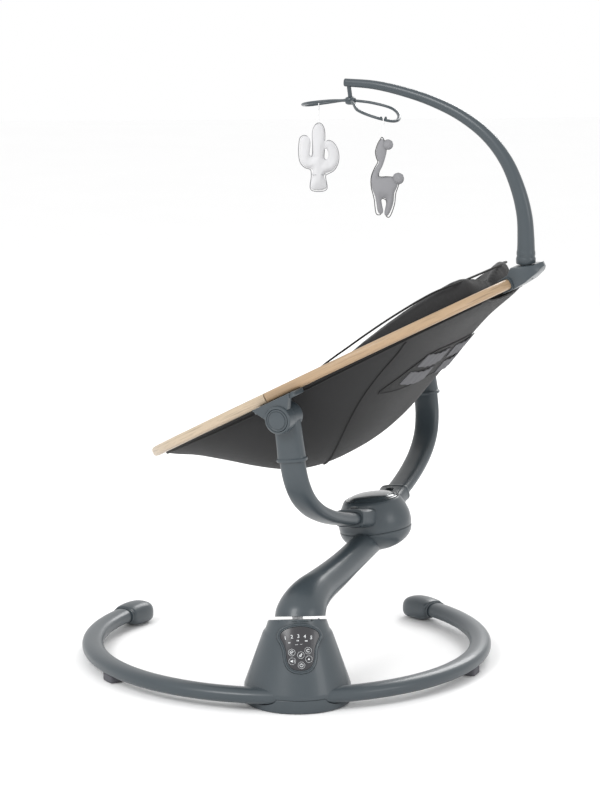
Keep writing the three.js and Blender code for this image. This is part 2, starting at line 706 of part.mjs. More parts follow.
// ---- seat rim -----------------------------------------------------------------------------------
class RimCurve extends THREE.Curve {
  constructor(from, to) {
    super();
    Object.assign(this, { from, to });
  }

  getPoint(t, target = vec(0, 0, 0)) {
    const a = rad(this.from + (this.to - this.from) * t);
    const [c, s] = [Math.cos(a), Math.sin(a)];
    const x = (c > 0 ? RIM_HEAD : RIM_FOOT) * Math.sign(c) * Math.abs(c) ** (2 / RIM_POWER);
    const y = RIM_HALF_W * Math.sign(s) * Math.abs(s) ** (2 / RIM_POWER);
    return target.set(RIM_JOINT_X + x, y, RIM_UP);
  }
}

const RIM_SEAM = 0.03;           // half the open seam between both rim halves, degrees
const HEAD_RAIL = [-90 + RIM_SEAM, 90 - RIM_SEAM];
const FOOT_RAIL = [90 + RIM_SEAM, 270 - RIM_SEAM];

// Half width inside the rail at a place along the seat.
function innerHalf(x) {
  const reach = (x > RIM_JOINT_X ? RIM_HEAD : RIM_FOOT) - RAIL_W / 2;
  const share = Math.min(1, Math.abs(x - RIM_JOINT_X) / reach);
  return (RIM_HALF_W - RAIL_W / 2) * (1 - share ** RIM_POWER) ** (1 / RIM_POWER);
}

function rail(from, to, grow = 0, steps = 24) {
  return along(new RimCurve(from, to), roundedRect(RAIL_H + 2 * grow, RAIL_W + 2 * grow, 6, 2), steps);
}

function rimBracket(side) {
  const cheekT = FACE_U - 1 - SPLIT_U;
  const cheek = rod(PIVOT_R + 0.8, cheekT, 0, 28);
  const saddleTop = RIM_UP - RAIL_H / 2 - GAP;
  const gusset = plate(outline([[-34, saddleTop], [-18, 8], [18, 8], [34, saddleTop]]), cheekT - 5, 5);
  const upright = (geometry, start) => geometry.rotateX(Math.PI / 2).translate(0, -start, 0);
  const outer = upright(join(cheek, gusset), SPLIT_U);
  const saddle = box(76, FACE_U - 8 - 222, saddleTop - PIVOT_R - RUN - 0.6, 0,
    -(FACE_U - 8 + 222) / 2, (saddleTop + PIVOT_R + RUN + 0.6) / 2);
  const pinHole = rod(PIN_R + GAP, 30, 0, 20).rotateX(Math.PI / 2).translate(0, -(SPLIT_U - 12), 0);
  const buttonWell = rod(16.8 + GAP, 30, 0, 28).rotateX(Math.PI / 2).translate(0, -(FACE_U - 9), 0);
  return cut(join(outer, saddle), pinHole, buttonWell).rotateZ(side < 0 ? 0 : Math.PI);
}

function headBracket() {
  const end = RIM_JOINT_X + RIM_HEAD;
  const plan = plate(outline([[end - 17, -48], [end + 14, -47], [end + 40, -34], [end + 55, -14],
    [end + 58, 0], [end + 55, 14], [end + 40, 34], [end + 14, 47], [end - 17, 48], [end - 13, 24],
    [end - 12, 0], [end - 13, -24]]), 60, 0);
  const side = plate(outline([[end - 18, RIM_UP - 11], [end + 4, RIM_UP - 13], [end + 26, RIM_UP - 12],
    [end + 52, RIM_UP - 5], [end + 59, RIM_UP - 1], [end + 56, RIM_UP + 3], [BAR_X + 16, BAR_Z - 7],
    [BAR_X - 14, BAR_Z + 4], [end + 6, RIM_UP + 12], [end - 18, RIM_UP + 10.5]]), 120, -60)
    .rotateX(Math.PI / 2);
  const socketHole = rod(8 + RUN, 30, -24, 24).rotateY(-rad(-TILT)).translate(BAR_X, 0, BAR_Z);
  return cut(common(plan, side), rail(...HEAD_RAIL, GAP), socketHole);
}

// ---- seat fabric --------------------------------------------------------------------------------
const SLING_HEAD = 290;
const SLING_FOOT = RIM_JOINT_X - RIM_FOOT + RAIL_W / 2 + 2;
// Height of the sling's middle line above the recline axis: [along the seat, up].
const slingLow = smooth([[-331, 27], [-311, 20], [-285, 9], [-250, -6], [-205, -34], [-160, -64],
  [-120, -84], [-75, -92], [-26, -88], [20, -76], [68, -56], [134, -27], [209, 3], [280, 20], [312, 27]]);
const EDGE_Z = RIM_UP - RAIL_H / 2 - 1;

// Outer face of the sling: s runs from -1 on the near edge to 1 on the far edge.
function slingPoint(x, s, lift = 0) {
  const half = innerHalf(x) - 3;
  const low = slingLow(x);
  const y = half * s * (1 - 0.06 * (1 - s * s)) * (1 - lift / 900);
  const z = low + (EDGE_Z - low) * Math.abs(s) ** 3.2;
  const lean = Math.min(1, Math.abs(s)) ** 3;
  return vec(x, y - Math.sign(s) * lift * lean * 0.95, z + lift * (1 - lean * 0.8));
}

function rows(from, to, count) {
  return Array.from({ length: count }, (unused, i) => from + ((to - from) * i) / (count - 1));
}

function grid(xs, ss, at) {
  return xs.map((x) => ss.map((s) => at(x, s)));
}

function sling() {
  const xs = rows(SLING_FOOT, SLING_HEAD, 18);
  const ss = rows(-1, 1, 13);
  return slab(grid(xs, ss, (x, s) => slingPoint(x, s, SLING_T)), grid(xs, ss, (x, s) => slingPoint(x, s)));
}

// Height of the sling's inner face at a distance from the middle line.
function slingTop(x, y) {
  let [low, high] = [0, 1];
  for (let i = 0; i < 14; i++) {
    const s = (low + high) / 2;
    if (slingPoint(x, s, SLING_T).y < y) low = s;
    else high = s;
  }
  return slingPoint(x, low, SLING_T).z;
}

// Pads lie on the sling's inner face, with lift as the height above the outer face.
function pad(from, to, width, low, high, nx = 13, ns = 9) {
  const xs = rows(from, to, nx);
  const ss = rows(-width, width, ns);
  return slab(
    grid(xs, ss, (x, s) => slingPoint(x, s, high(x, s / width))),
    grid(xs, ss, (x, s) => slingPoint(x, s, low)),
  );
}

const PAD_SPLIT = -70;
const PAD_LOW = SLING_T + 3;

// The back insert's side bolsters rise over the rail towards the head.
const bolsterTop = smooth([[PAD_SPLIT, -20], [-20, 20], [30, 48], [110, 64], [200, 77], [262, 80],
  [284, 70]]);
const insertHalf = smooth([[PAD_SPLIT, 158], [0, 172], [100, 172], [200, 150], [250, 122], [284, 70]]);

function insertShape(x, s, top) {
  const half = insertHalf(x);
  const y = half * s;
  const floorZ = slingTop(x, Math.abs(y)) + 3;
  if (!top) return vec(x, y, floorZ);
  const hollow = slingLow(x) + PAD_LOW + INSERT_T;
  const rim = Math.abs(s) ** 2.6;
  return vec(x, y, Math.max(floorZ + 4, hollow + (bolsterTop(x) - hollow) * rim));
}

function backInsert() {
  const xs = rows(PAD_SPLIT, 284, 15);
  const ss = rows(-1, 1, 13);
  const face = (upper) => grid(xs, ss, (x, s) => insertShape(x, s, upper));
  return slab(face(true), face(false));
}

// A strap or a small pad on the back insert.
function onInsert(x0, x1, y0, y1, width, lift, thick, count = 10) {
  const upper = [];
  const lower = [];
  for (let i = 0; i < count; i++) {
    const t = i / (count - 1);
    const x = x0 + (x1 - x0) * t;
    const y = y0 + (y1 - y0) * t;
    const direction = Math.atan2(y1 - y0, x1 - x0);
    const [dx, dy] = [-Math.sin(direction) * width / 2, Math.cos(direction) * width / 2];
    const at = (k, up) => {
      const [px, py] = [x + dx * k, y + dy * k];
      const top = insertShape(px, py / insertHalf(px), true).z;
      return vec(px, py, top + lift + (up ? thick : 0));
    };
    upper.push([at(-1, true), at(0, true), at(1, true)]);
    lower.push([at(-1, false), at(0, false), at(1, false)]);
  }
  return slab(upper, lower);
}

const BUCKLE_X = -30;
const STRAP_W = 25;
const STRAP_T = 2;

function buildSeat(parent) {
  piece(parent, 'rim_head', rail(...HEAD_RAIL), wood());
  piece(parent, 'rim_foot', rail(...FOOT_RAIL), wood());
  SIDES.forEach(([name, side]) => {
    piece(parent, `rim_bracket_${name}`, rimBracket(side), slate());
    const pin = rod(PIN_R, SPLIT_U + 5 - HEAD_INNER_U + 4, 0, 20).rotateX(Math.PI / 2)
      .translate(0, -(HEAD_INNER_U - 4), 0).rotateZ(side < 0 ? 0 : Math.PI);
    piece(parent, `pivot_pin_${name}`, pin, steel());
    const press = frameAt(parent, `recline_button_${name}_frame`, vec(0, side * FACE_U, 0));
    const button = turned([[0, -5.5], [16.8, -5.5], [16.8, -0.9], [15.9, 0], [0, 0]], 28)
      .rotateX(Math.PI / 2).rotateZ(side < 0 ? 0 : Math.PI);
    piece(press, `recline_button_${name}`, button, slate());
  });
  piece(parent, 'head_bracket', headBracket(), slate());
  piece(parent, 'sling', sling(), charcoal());
  piece(parent, 'leg_pad', pad(SLING_FOOT + 36, PAD_SPLIT - 4, 0.78, PAD_LOW + 0.4,
    (x, s) => PAD_LOW + 3 + (PAD_T - 3) * (1 - s ** 4)), mottled());
  piece(parent, 'back_insert', backInsert(), mottled());
  piece(parent, 'head_cushion', onInsert(168, 262, 0, 0, 150, 1, 14, 8), mottled());
  SIDES.forEach(([name, side]) => {
    piece(parent, `shoulder_strap_${name}`,
      onInsert(BUCKLE_X + 26, 150, side * 16, side * 42, STRAP_W, 1.5, STRAP_T), darkSlate());
    piece(parent, `waist_strap_${name}`,
      onInsert(BUCKLE_X + 6, BUCKLE_X + 34, side * 36, side * 112, STRAP_W, 2.2, STRAP_T), darkSlate());
  });
  const rest = insertShape(BUCKLE_X, 0, true).z;
  const buckle = frameAt(parent, 'buckle_frame', vec(BUCKLE_X, 0, rest + 5));
  const shell = plate(roundedRect(40, 44, 9, 4), 13);
  const well = rod(8 + GAP, 20, 7, 24);
  piece(buckle, 'buckle', cut(shell, well), darkSlate());
  const press = frameAt(buckle, 'buckle_button_frame', vec(0, 0, 13));
  piece(press, 'buckle_button', rod(8, 6, -3.2, 24), finish(0x8a9094, 0.5));
  const crotch = onInsert(BUCKLE_X - 38, BUCKLE_X - 21, 0, 0, STRAP_W, 1.5, STRAP_T, 5);
  piece(parent, 'crotch_strap', crotch, darkSlate());
}

// ---- toy bar ------------------------------------------------------------------------------------
// Centre line of the bar from its foot, in the upright plane: [towards the foot end, up].
const BAR_LINE = [[0, 0], [-5, 38], [-7, 72], [-2, 112], [12, 156], [37, 194.5], [74, 227.5], [119, 253.5],
  [164, 272], [208, 285.5], [256, 294]];

function barSections() {
  const path = new THREE.CatmullRomCurve3(BAR_LINE.map(([x, z]) => vec(-x, 0, z)));
  return rows(0, 1, 20).map((t) => {
    const p = path.getPoint(t);
    const d = path.getTangent(t);
    const width = THREE.MathUtils.lerp(BAR_FOOT_W, BAR_TIP_W, t ** 0.75);
    const thick = width * 0.86;
    return ovalPoints(width, thick, 2.3, 12).map(([a, b]) => vec(p.x - d.z * a, b, p.z + d.x * a));
  });
}

const TIP = BAR_LINE[BAR_LINE.length - 1];
const POST_X = -(TIP[0] - 6);
const POST_TOP = TIP[1] - BAR_TIP_W / 2;
const KNUCKLE_R = 8;
const KNUCKLE_H = 11;
const WING_TURN = -56;           // plan direction of the near wing, degrees from +X
const NEAR_DROP = 23;            // how far each wing droops at its tip
const FAR_DROP = 14;
const NOTCH_AT = 0.61;           // share of the wing rim at which a toy's string hangs

function buildBar(parent) {
  const foot = rod(8, 24, -18);
  const below = box(60, 60, 40, 0, 0, -20 + GAP);
  const post = rod(POST_R, POST_L + 6, POST_TOP - POST_L, 16).translate(POST_X, 0, 0);
  piece(parent, 'toy_bar', join(cut(loft(barSections()), below), foot, post), slate());
}

// One open, leaf-shaped wing: its rim runs out along one edge and back along the other.
function wingCurve(turn, drop) {
  const edge = [[0.05, 0.14, 0], [0.28, 0.55, 0.1], [0.56, 1, 0.4], [0.82, 0.74, 0.75], [0.98, 0.17, 1]];
  const side = (sign) => edge.map(([out, wide, droop]) => [out * WING_L, sign * wide * WING_W, droop]);
  const leaf = [...side(1), ...side(-1).reverse()];
  const points = leaf.map(([out, wide, droop]) => vec(out, wide, -drop * droop));
  const axis = vec(0, 0, 1);
  return new THREE.CatmullRomCurve3(points.map((p) => p.applyAxisAngle(axis, rad(turn))));
}

const WINGS = {
  near: wingCurve(WING_TURN, NEAR_DROP),
  far: wingCurve(WING_TURN + 180, FAR_DROP),
};

// A frame that hangs plumb, with its +X along the base's +X, whatever it hangs from.
function plumbFrame(parent, name, position) {
  const group = frameAt(parent, name, position);
  swing.updateMatrixWorld(true);
  group.quaternion.copy(parent.getWorldQuaternion(new THREE.Quaternion()).invert());
  return group;
}

function buildSpinner(parent) {
  const rim = () => outline(ovalPoints(WING_BAR, WING_BAR, 2, 8));
  const knuckle = turned([[0, -KNUCKLE_H + 3], [KNUCKLE_R - 3, -KNUCKLE_H + 3], [KNUCKLE_R, -KNUCKLE_H + 6],
    [KNUCKLE_R, 1], [KNUCKLE_R - 3, 3.5], [0, 3.5]], 24);
  const wings = [WINGS.near, WINGS.far].map((curve) => along(curve, rim(), 20).translate(0, 0, -2));
  piece(parent, 'toy_spinner', cut(join(knuckle, ...wings), rod(POST_R + 1.5, 20, -2, 20)), slate());
}

// The string loops over the wing's rim and drops to the toy. Its frame is on the rim.
function stringTube(drop, heading) {
  const loopR = WING_BAR / 2 + STRING_D / 2 + 0.5;
  const points = [[0, -drop + GAP], [0, -drop / 2], [0.4, -9], [loopR * 0.85, -4], [loopR, 0],
    [loopR * 0.7, loopR * 0.7], [0, loopR], [-loopR * 0.7, loopR * 0.7], [-loopR, 0], [-loopR * 0.95, -3]];
  const path = new THREE.CatmullRomCurve3(points.map(([a, z]) => vec(0, a, z)));
  return along(path, outline(ovalPoints(STRING_D, STRING_D, 2, 8)), 18).rotateZ(heading);
}

const CACTUS = [[-12, -103], [12, -103], [11, -81], [16, -78], [24, -73], [30, -62], [31, -50], [28, -38],
  [21, -29], [14, -27], [11, -30], [11, -36], [14.5, -43], [15.5, -50], [13, -56.5], [9, -56], [8.8, -40],
  [9, -12], [5.5, -3], [0, 0], [-5.5, -3], [-9.5, -12], [-9.8, -30], [-10, -48], [-11.5, -52], [-14, -50],
  [-14.5, -42], [-14.5, -27], [-18, -20.5], [-23, -19], [-28.5, -22], [-30.5, -30], [-31, -50], [-28, -62],
  [-21, -69], [-13, -72], [-11.5, -80]];
const LLAMA = [[-2, 0], [2, -6], [4.4, -20], [3, -28], [-1, -41], [-6, -52], [-6, -58], [6, -58.5],
  [16, -60], [23, -68], [19, -84], [17, -101], [9, -119], [5, -117], [4.4, -93.5], [-2, -91.5],
  [-3.4, -114.5], [-9, -114.5], [-13.3, -91], [-17.8, -72], [-17.5, -58], [-13, -46], [-8, -36],
  [-10, -31], [-11.6, -21], [-8, -9], [-5, -4]];
const POMPOMS = [[7, -11, 8], [22.5, -61.5, 9]];

// A soft toy hangs in the XZ plane of its frame, its top at the origin.
function standUp(geometry) {
  return geometry.translate(0, 0, -TOY_T / 2).rotateX(Math.PI / 2);
}

function llamaBody() {
  const balls = POMPOMS.map(([x, z, r]) => new THREE.SphereGeometry(r, 10, 7).translate(x, z, TOY_T / 2));
  return standUp(join(plate(outline(LLAMA), TOY_T - 6, 3), ...balls));
}

function buildToys(parent) {
  const toys = [
    ['cactus', 'far', CACTUS_DROP, () => standUp(plate(outline(CACTUS), TOY_T)), 0xa9aaac],
    ['llama', 'near', LLAMA_DROP, llamaBody, 0x4c4c4e],
  ];
  for (const [name, side, drop, body, color] of toys) {
    const curve = WINGS[side];
    const tangent = curve.getTangent(NOTCH_AT);
    const heading = Math.atan2(tangent.y, tangent.x);
    const hang = frameAt(parent, `${name}_string_frame`, curve.getPoint(NOTCH_AT).add(vec(0, 0, -2)));
    piece(hang, `${name}_string`, stringTube(drop, heading), finish(0xd8d8d8, 0.8));
    const toy = frameAt(hang, `${name}_frame`, vec(0, 0, -drop));
    piece(toy, `${name}_toy`, body(), finish(color, 0.95));
  }
}

buildBase(swing);
buildArm(armFrame);
buildCarrier(carrier);
buildSeat(seatFrame);
buildBar(barFrame);
const spinnerFrame = plumbFrame(barFrame, 'spinner_frame', vec(POST_X, 0, POST_TOP - POST_L));
buildSpinner(spinnerFrame);
buildToys(spinnerFrame);

export default swing;
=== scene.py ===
"""Baby swing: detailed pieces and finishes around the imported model, laid out as an add-on."""
import math

import bmesh
import bpy
from mathutils import Matrix, Vector


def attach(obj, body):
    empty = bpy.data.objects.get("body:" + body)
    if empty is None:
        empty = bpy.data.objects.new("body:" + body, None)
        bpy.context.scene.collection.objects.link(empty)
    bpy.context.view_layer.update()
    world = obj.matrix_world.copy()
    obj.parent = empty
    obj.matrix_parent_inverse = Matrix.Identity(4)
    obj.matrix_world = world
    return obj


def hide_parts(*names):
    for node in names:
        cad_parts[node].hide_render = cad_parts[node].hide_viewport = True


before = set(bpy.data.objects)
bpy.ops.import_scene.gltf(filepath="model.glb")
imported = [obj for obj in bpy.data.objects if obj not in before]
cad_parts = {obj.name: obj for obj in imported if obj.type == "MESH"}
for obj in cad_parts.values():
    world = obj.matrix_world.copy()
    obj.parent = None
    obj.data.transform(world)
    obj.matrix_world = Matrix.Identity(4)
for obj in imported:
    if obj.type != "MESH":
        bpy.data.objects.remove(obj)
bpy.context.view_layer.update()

bl_info = {
    "name": "Baby swing",
    "version": (1, 0, 0),
    "blender": (4, 5, 0),
    "location": "View3D > Sidebar > Baby swing",
    "description": "Builds an infant swing with a turntable seat and a toy bar",
    "category": "Add Mesh",
}

MM = 0.001
rad = math.radians
Y_AXIS = Vector((0, 1, 0))
X_AXIS = Vector((1, 0, 0))
Z_AXIS = Vector((0, 0, 1))
SIDES = (("near", -1), ("far", 1))
HANDS = (("left", -1), ("right", 1))


# ---- sizes of the real thing, in millimetres and degrees ------------------------------------------
LEAN, SWUNG, TILT = 14.7, 31.1, 19.8
HOUSING_R, HOUSING_TOP_R, HOUSING_H, SKIRT_H, TRAY_H, WALL = 78.5, 42.5, 121, 25, 20, 3
RING_R, RING_MID_Y, RING_Z, RING_HOLD, CAP_START, CAP_END = 300, 246, 21, 4.5, 123, 136
REACH, HUB_RISE, HUB_R, BOWL_DEPTH, SHELL_H, BUTTON_R = 295, 65, 56, 34, 47, 40.6
YOKE_HALF, COLLAR_Z, PIVOT_Z, PIVOT_R, FACE_U, SPLIT_U, HEAD_INNER_U = 244, 161, 228, 20, 275, 256, 228
RIM_UP, RIM_JOINT_X, RIM_HALF_W, RIM_HEAD, RIM_FOOT, RIM_POWER = 37, -22, 231, 333, 315, 2.2
RAIL_W, RAIL_H = 18, 15.5
BAR_X, BAR_Z, POST_R, POST_L, WING_L, WING_W = 341, 53, 3.2, 20, 104, 32
BAR_LINE = [(0, 0), (-5, 38), (-7, 72), (-2, 112), (12, 156), (37, 194.5), (74, 227.5),
            (119, 253.5),
            (164, 272), (208, 285.5), (256, 294)]
POST_X, POST_TOP = -(256 - 6), 294 - 6
PAD_SPLIT, INSERT_T, PAD_LOW = -70, 20, 6
BUCKLE_X = -30
FOOT_PAD_AT = 64                 # degrees from the front of the ring
FILL_STEPS = 20

SWING_AXIS = Vector((0, math.sin(rad(LEAN)), math.cos(rad(LEAN))))


def moved(x, y, z):
    return Matrix.Translation(Vector((x, y, z)) * MM)


def turned(degrees, axis):
    return Matrix.Rotation(rad(degrees), 4, axis)


BASE = Matrix.Identity(4)
ARM = moved(0, 0, HOUSING_H) @ turned(-SWUNG, SWING_AXIS)
CARRIER = ARM @ moved(0, REACH, HUB_RISE)
SEAT = CARRIER @ moved(0, 0, PIVOT_Z) @ turned(-TILT, "Y")
BAR = SEAT @ moved(BAR_X, 0, BAR_Z) @ turned(TILT, "Y")
SPINNER = Matrix.Translation(BAR @ (Vector((POST_X, 0, POST_TOP - POST_L)) * MM))


# ---- curves and outlines ------------------------------------------------------------------------
def smooth(pairs):
    """A smooth function through (x, value) pairs in rising x."""
    last = len(pairs) - 1

    def slope(k):
        low, high = pairs[max(k - 1, 0)], pairs[min(k + 1, last)]
        return (high[1] - low[1]) / (high[0] - low[0])

    def at(x):
        if x <= pairs[0][0]:
            return pairs[0][1]
        if x >= pairs[last][0]:
            return pairs[last][1]
        i = max(k for k in range(last) if pairs[k][0] <= x)
        (x0, y0), (x1, y1) = pairs[i], pairs[i + 1]
        h = x1 - x0
        t = (x - x0) / h
        return ((2 * t ** 3 - 3 * t * t + 1) * y0 + (t ** 3 - 2 * t * t + t) * h * slope(i)
                + (3 * t * t - 2 * t ** 3) * y1 + (t ** 3 - t * t) * h * slope(i + 1))

    return at


class Route:
    """A smooth line through points, open or closed."""

    def __init__(self, points, closed=False):
        self.points = [Vector(p) for p in points]
        self.closed = closed

    def at(self, t):
        points, n = self.points, len(self.points)
        place = max(0.0, min(t, 1.0)) * (n if self.closed else n - 1)
        i = min(int(place), n - 1 if self.closed else n - 2)
        w = place - i
        if self.closed:
            p0, p1, p2, p3 = (points[(i + k) % n] for k in (-1, 0, 1, 2))
        else:
            p1, p2 = points[i], points[i + 1]
            p0 = points[i - 1] if i else 2 * p1 - p2
            p3 = points[i + 2] if i + 2 < n else 2 * p2 - p1
        d1 = (p2 - p1).length ** 0.5 or 1.0
        d0 = (p1 - p0).length ** 0.5 or d1
        d2 = (p3 - p2).length ** 0.5 or d1
        m1 = ((p1 - p0) / d0 - (p2 - p0) / (d0 + d1) + (p2 - p1) / d1) * d1
        m2 = ((p2 - p1) / d1 - (p3 - p1) / (d1 + d2) + (p3 - p2) / d2) * d1
        return (p1 + m1 * w + (3 * (p2 - p1) - 2 * m1 - m2) * w * w
                + (2 * (p1 - p2) + m1 + m2) * w ** 3)

    def along(self, t, step=0.002):
        if self.closed:
            return (self.at((t + step) % 1.0) - self.at((t - step) % 1.0)).normalized()
        return (self.at(min(t + step, 1.0)) - self.at(max(t - step, 0.0))).normalized()


def power_round(value, power):
    return math.copysign(abs(value) ** (2 / power), value)


def oval(turn, width, height, power=2.0):
    """A point of a rounded section: power 2 is an ellipse, higher powers are squarer."""
    angle = 2 * math.pi * turn
    return (width / 2 * power_round(math.cos(angle), power),
            height / 2 * power_round(math.sin(angle), power))


def length_of(points):
    return sum((b - a).length for a, b in zip(points, points[1:]))


# ---- mesh helpers -------------------------------------------------------------------------------
def surface(at, rows, cols, fill_ends=False):
    """A bmesh grid carried onto at(u, v), u and v from 0 to 1, with a UV map in metres."""
    bm = bmesh.new()
    bmesh.ops.create_grid(bm, x_segments=rows, y_segments=cols, size=0.5)
    steps = [k / 24 for k in range(25)]
    long = length_of([Vector(at(u, 0.3)) for u in steps]) * MM
    wide = length_of([Vector(at(0.5, v)) for v in steps]) * MM
    layer = bm.loops.layers.uv.new("cut")
    for face in bm.faces:
        for loop in face.loops:
            loop[layer].uv = ((loop.vert.co.x + 0.5) * long, (loop.vert.co.y + 0.5) * wide)
    for vert in bm.verts:
        vert.co = at(vert.co.x + 0.5, vert.co.y + 0.5)
    bmesh.ops.remove_doubles(bm, verts=bm.verts, dist=1e-3)
    if fill_ends:
        bmesh.ops.holes_fill(bm, edges=[e for e in bm.edges if e.is_boundary], sides=0)
    bmesh.ops.recalc_face_normals(bm, faces=bm.faces)
    return bm


def sweep(line, side, section, rows=60, cols=28):
    """A closed tube: line(u) is its centre, side(u) its width direction, section(u, v) a point."""
    step = 0.004

    def at(u, v):
        centre = Vector(line(u))
        tangent = (Vector(line(min(u + step, 1))) - Vector(line(max(u - step, 0)))).normalized()
        across = side(u).normalized()
        up = across.cross(tangent).normalized()
        a, b = section(u, v)
        return centre + across * a + up * b

    return surface(at, rows, cols, fill_ends=True)


def round_end(u, share, power=2.0):
    """How full a section is at u, where both ends close in a rounded nose over that share."""
    edge = min(u, 1 - u) / share
    return 1.0 if edge >= 1 else max(0.02, (1 - (1 - edge) ** power) ** (1 / power))


def lathe(profile, steps=72, ring=False):
    """A body turned about Z from (radius, height) points, or a ring if the profile is closed."""
    bm = bmesh.new()
    verts = [bm.verts.new((r, 0, z)) for r, z in profile]
    pairs = list(zip(verts, verts[1:])) + ([(verts[-1], verts[0])] if ring else [])
    edges = [bm.edges.new(pair) for pair in pairs]
    bmesh.ops.spin(bm, geom=verts + edges, axis=(0, 0, 1), cent=(0, 0, 0), angle=2 * math.pi,
                   steps=steps, use_merge=True)
    bmesh.ops.remove_doubles(bm, verts=bm.verts, dist=1e-3)
    bmesh.ops.recalc_face_normals(bm, faces=bm.faces)
    return bm


def prism(outline, low, high, bevel=0.0, segments=3):
    """A plate of an outline in the XY plane, with its upper and lower edges rounded."""
    bm = bmesh.new()
    face = bm.faces.new([bm.verts.new((x, y, low)) for x, y in outline])
    raised = bmesh.ops.extrude_face_region(bm, geom=[face])["geom"]
    bmesh.ops.translate(bm, verts=[g for g in raised if isinstance(g, bmesh.types.BMVert)],
                        vec=(0, 0, high - low))
    bmesh.ops.recalc_face_normals(bm, faces=bm.faces)
    if bevel:
        rims = [e for e in bm.edges if abs(e.verts[0].co.z - e.verts[1].co.z) < 1e-6]
        bmesh.ops.bevel(bm, geom=rims, offset=bevel, offset_type="OFFSET", segments=segments,
                        profile=0.5, affect="EDGES", material=-1, clamp_overlap=True)
    return bm


def rounded_box(width, depth, low, high, power=4.0, bevel=2.0, count=40):
    return prism([oval(k / count, width, depth, power) for k in range(count)], low, high, bevel)


def into(bm, matrix):
    """Turns and moves a shape, with the matrix's place in millimetres."""
    bmesh.ops.transform(bm, matrix=matrix, verts=bm.verts)
    return bm


def at_mm(x, y, z):
    return Matrix.Translation((x, y, z))


def body_shape(bm, place):
    """A mesh object from a shape in millimetres, in one of the swing's frames."""
    bmesh.ops.transform(bm, matrix=place @ Matrix.Scale(MM, 4), verts=bm.verts)
    mesh = bpy.data.meshes.new("shape")
    bm.to_mesh(mesh)
    bm.free()
    shape = bpy.data.objects.new("shape", mesh)
    bpy.context.scene.collection.objects.link(shape)
    return shape


def settle(shape):
    """Applies the modifiers."""
    bpy.context.view_layer.update()
    graph = bpy.context.evaluated_depsgraph_get()
    mesh = bpy.data.meshes.new_from_object(shape.evaluated_get(graph))
    shape.modifiers.clear()
    shape.data = mesh
    return shape


def combine(shape, others, operation):
    for other in others:
        step = shape.modifiers.new("combine", "BOOLEAN")
        step.operation = operation
        step.solver = "EXACT"
        step.object = other
    settle(shape)
    for other in others:
        bpy.data.objects.remove(other)
    return shape


def soften(shape, width, segments=3, angle=30):
    """Rounds the edges."""
    step = shape.modifiers.new("edges", "BEVEL")
    step.width = width * MM
    step.segments = segments
    step.limit_method = "ANGLE"
    step.angle_limit = rad(angle)
    step.use_clamp_overlap = True
    return settle(shape)


def show(shape, name, body, finish, replaces=(), sharp=38):
    """Names a finished shape, and gives it its body, finish and nodes that it stands for."""
    shape.name = name
    shape.data.name = name
    for polygon in shape.data.polygons:
        polygon.use_smooth = True
    shape.data.set_sharp_from_angle(angle=rad(sharp))
    shape.data.materials.clear()
    shape.data.materials.append(bpy.data.materials[finish])
    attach(shape, body)
    if replaces:
        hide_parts(*replaces)
    return shape


def piece(bm, place, name, body, finish, replaces=(), sharp=38):
    return show(body_shape(bm, place), name, body, finish, replaces, sharp)


def stuffed(shape, voxel, swell, pressure=4.0):
    """Fills a closed shape with cloth pressure; no point moves further than swell."""
    step = shape.modifiers.new("remesh", "REMESH")
    step.mode = "VOXEL"
    step.voxel_size = voxel * MM
    settle(shape)
    rest = [vert.co.copy() for vert in shape.data.vertices]
    cloth = shape.modifiers.new("fill", "CLOTH")
    cloth.settings.quality = 4
    cloth.settings.mass = 0.3
    cloth.settings.use_pressure = True
    cloth.settings.uniform_pressure_force = pressure
    cloth.settings.tension_stiffness = 12
    cloth.settings.compression_stiffness = 12
    cloth.settings.bending_stiffness = 0.5
    cloth.settings.effector_weights.gravity = 0
    cloth.collision_settings.use_collision = False
    cloth.point_cache.frame_start = 1
    cloth.point_cache.frame_end = FILL_STEPS
    for number in range(1, FILL_STEPS + 1):
        bpy.context.scene.frame_set(number)
    settle(shape)
    bpy.context.scene.frame_set(1)
    for vert, start in zip(shape.data.vertices, rest):
        shift = vert.co - start
        if shift.length > swell * MM:
            vert.co = start + shift * (swell * MM / shift.length)
    bm = bmesh.new()
    bm.from_mesh(shape.data)
    for _ in range(3):
        bmesh.ops.smooth_vert(bm, verts=bm.verts, factor=0.5, use_axis_x=True, use_axis_y=True,
                              use_axis_z=True)
    bm.to_mesh(shape.data)
    bm.free()
    finer = shape.modifiers.new("finer", "SUBSURF")
    finer.levels = finer.render_levels = 1
    return settle(shape)


# ---- finishes -----------------------------------------------------------------------------------
def srgb(red, green, blue):
    """A linear colour from the 0 to 255 values that a paint chart gives."""
    def linear(value):
        share = value / 255
        return share / 12.92 if share <= 0.04045 else ((share + 0.055) / 1.055) ** 2.4
    return (linear(red), linear(green), linear(blue))


class Number:
    """A shader socket that takes part in Python expressions."""

    def __init__(self, recipe, socket):
        self.recipe = recipe
        self.socket = socket

    def _math(self, operation, left, right):
        return self.recipe.node("ShaderNodeMath", {"operation": operation}, {0: left, 1: right})

    def __add__(self, other):
        return self._math("ADD", self, other)

    __radd__ = __add__

    def __mul__(self, other):
        return self._math("MULTIPLY", self, other)

    __rmul__ = __mul__

    def __sub__(self, other):
        return self._math("SUBTRACT", self, other)

    def __rsub__(self, other):
        return self._math("SUBTRACT", other, self)

    def __pow__(self, other):
        return self._math("POWER", self, other)

    def __gt__(self, other):
        return self._math("GREATER_THAN", self, other)

    def sine(self):
        return self._math("SINE", self, 0.0)


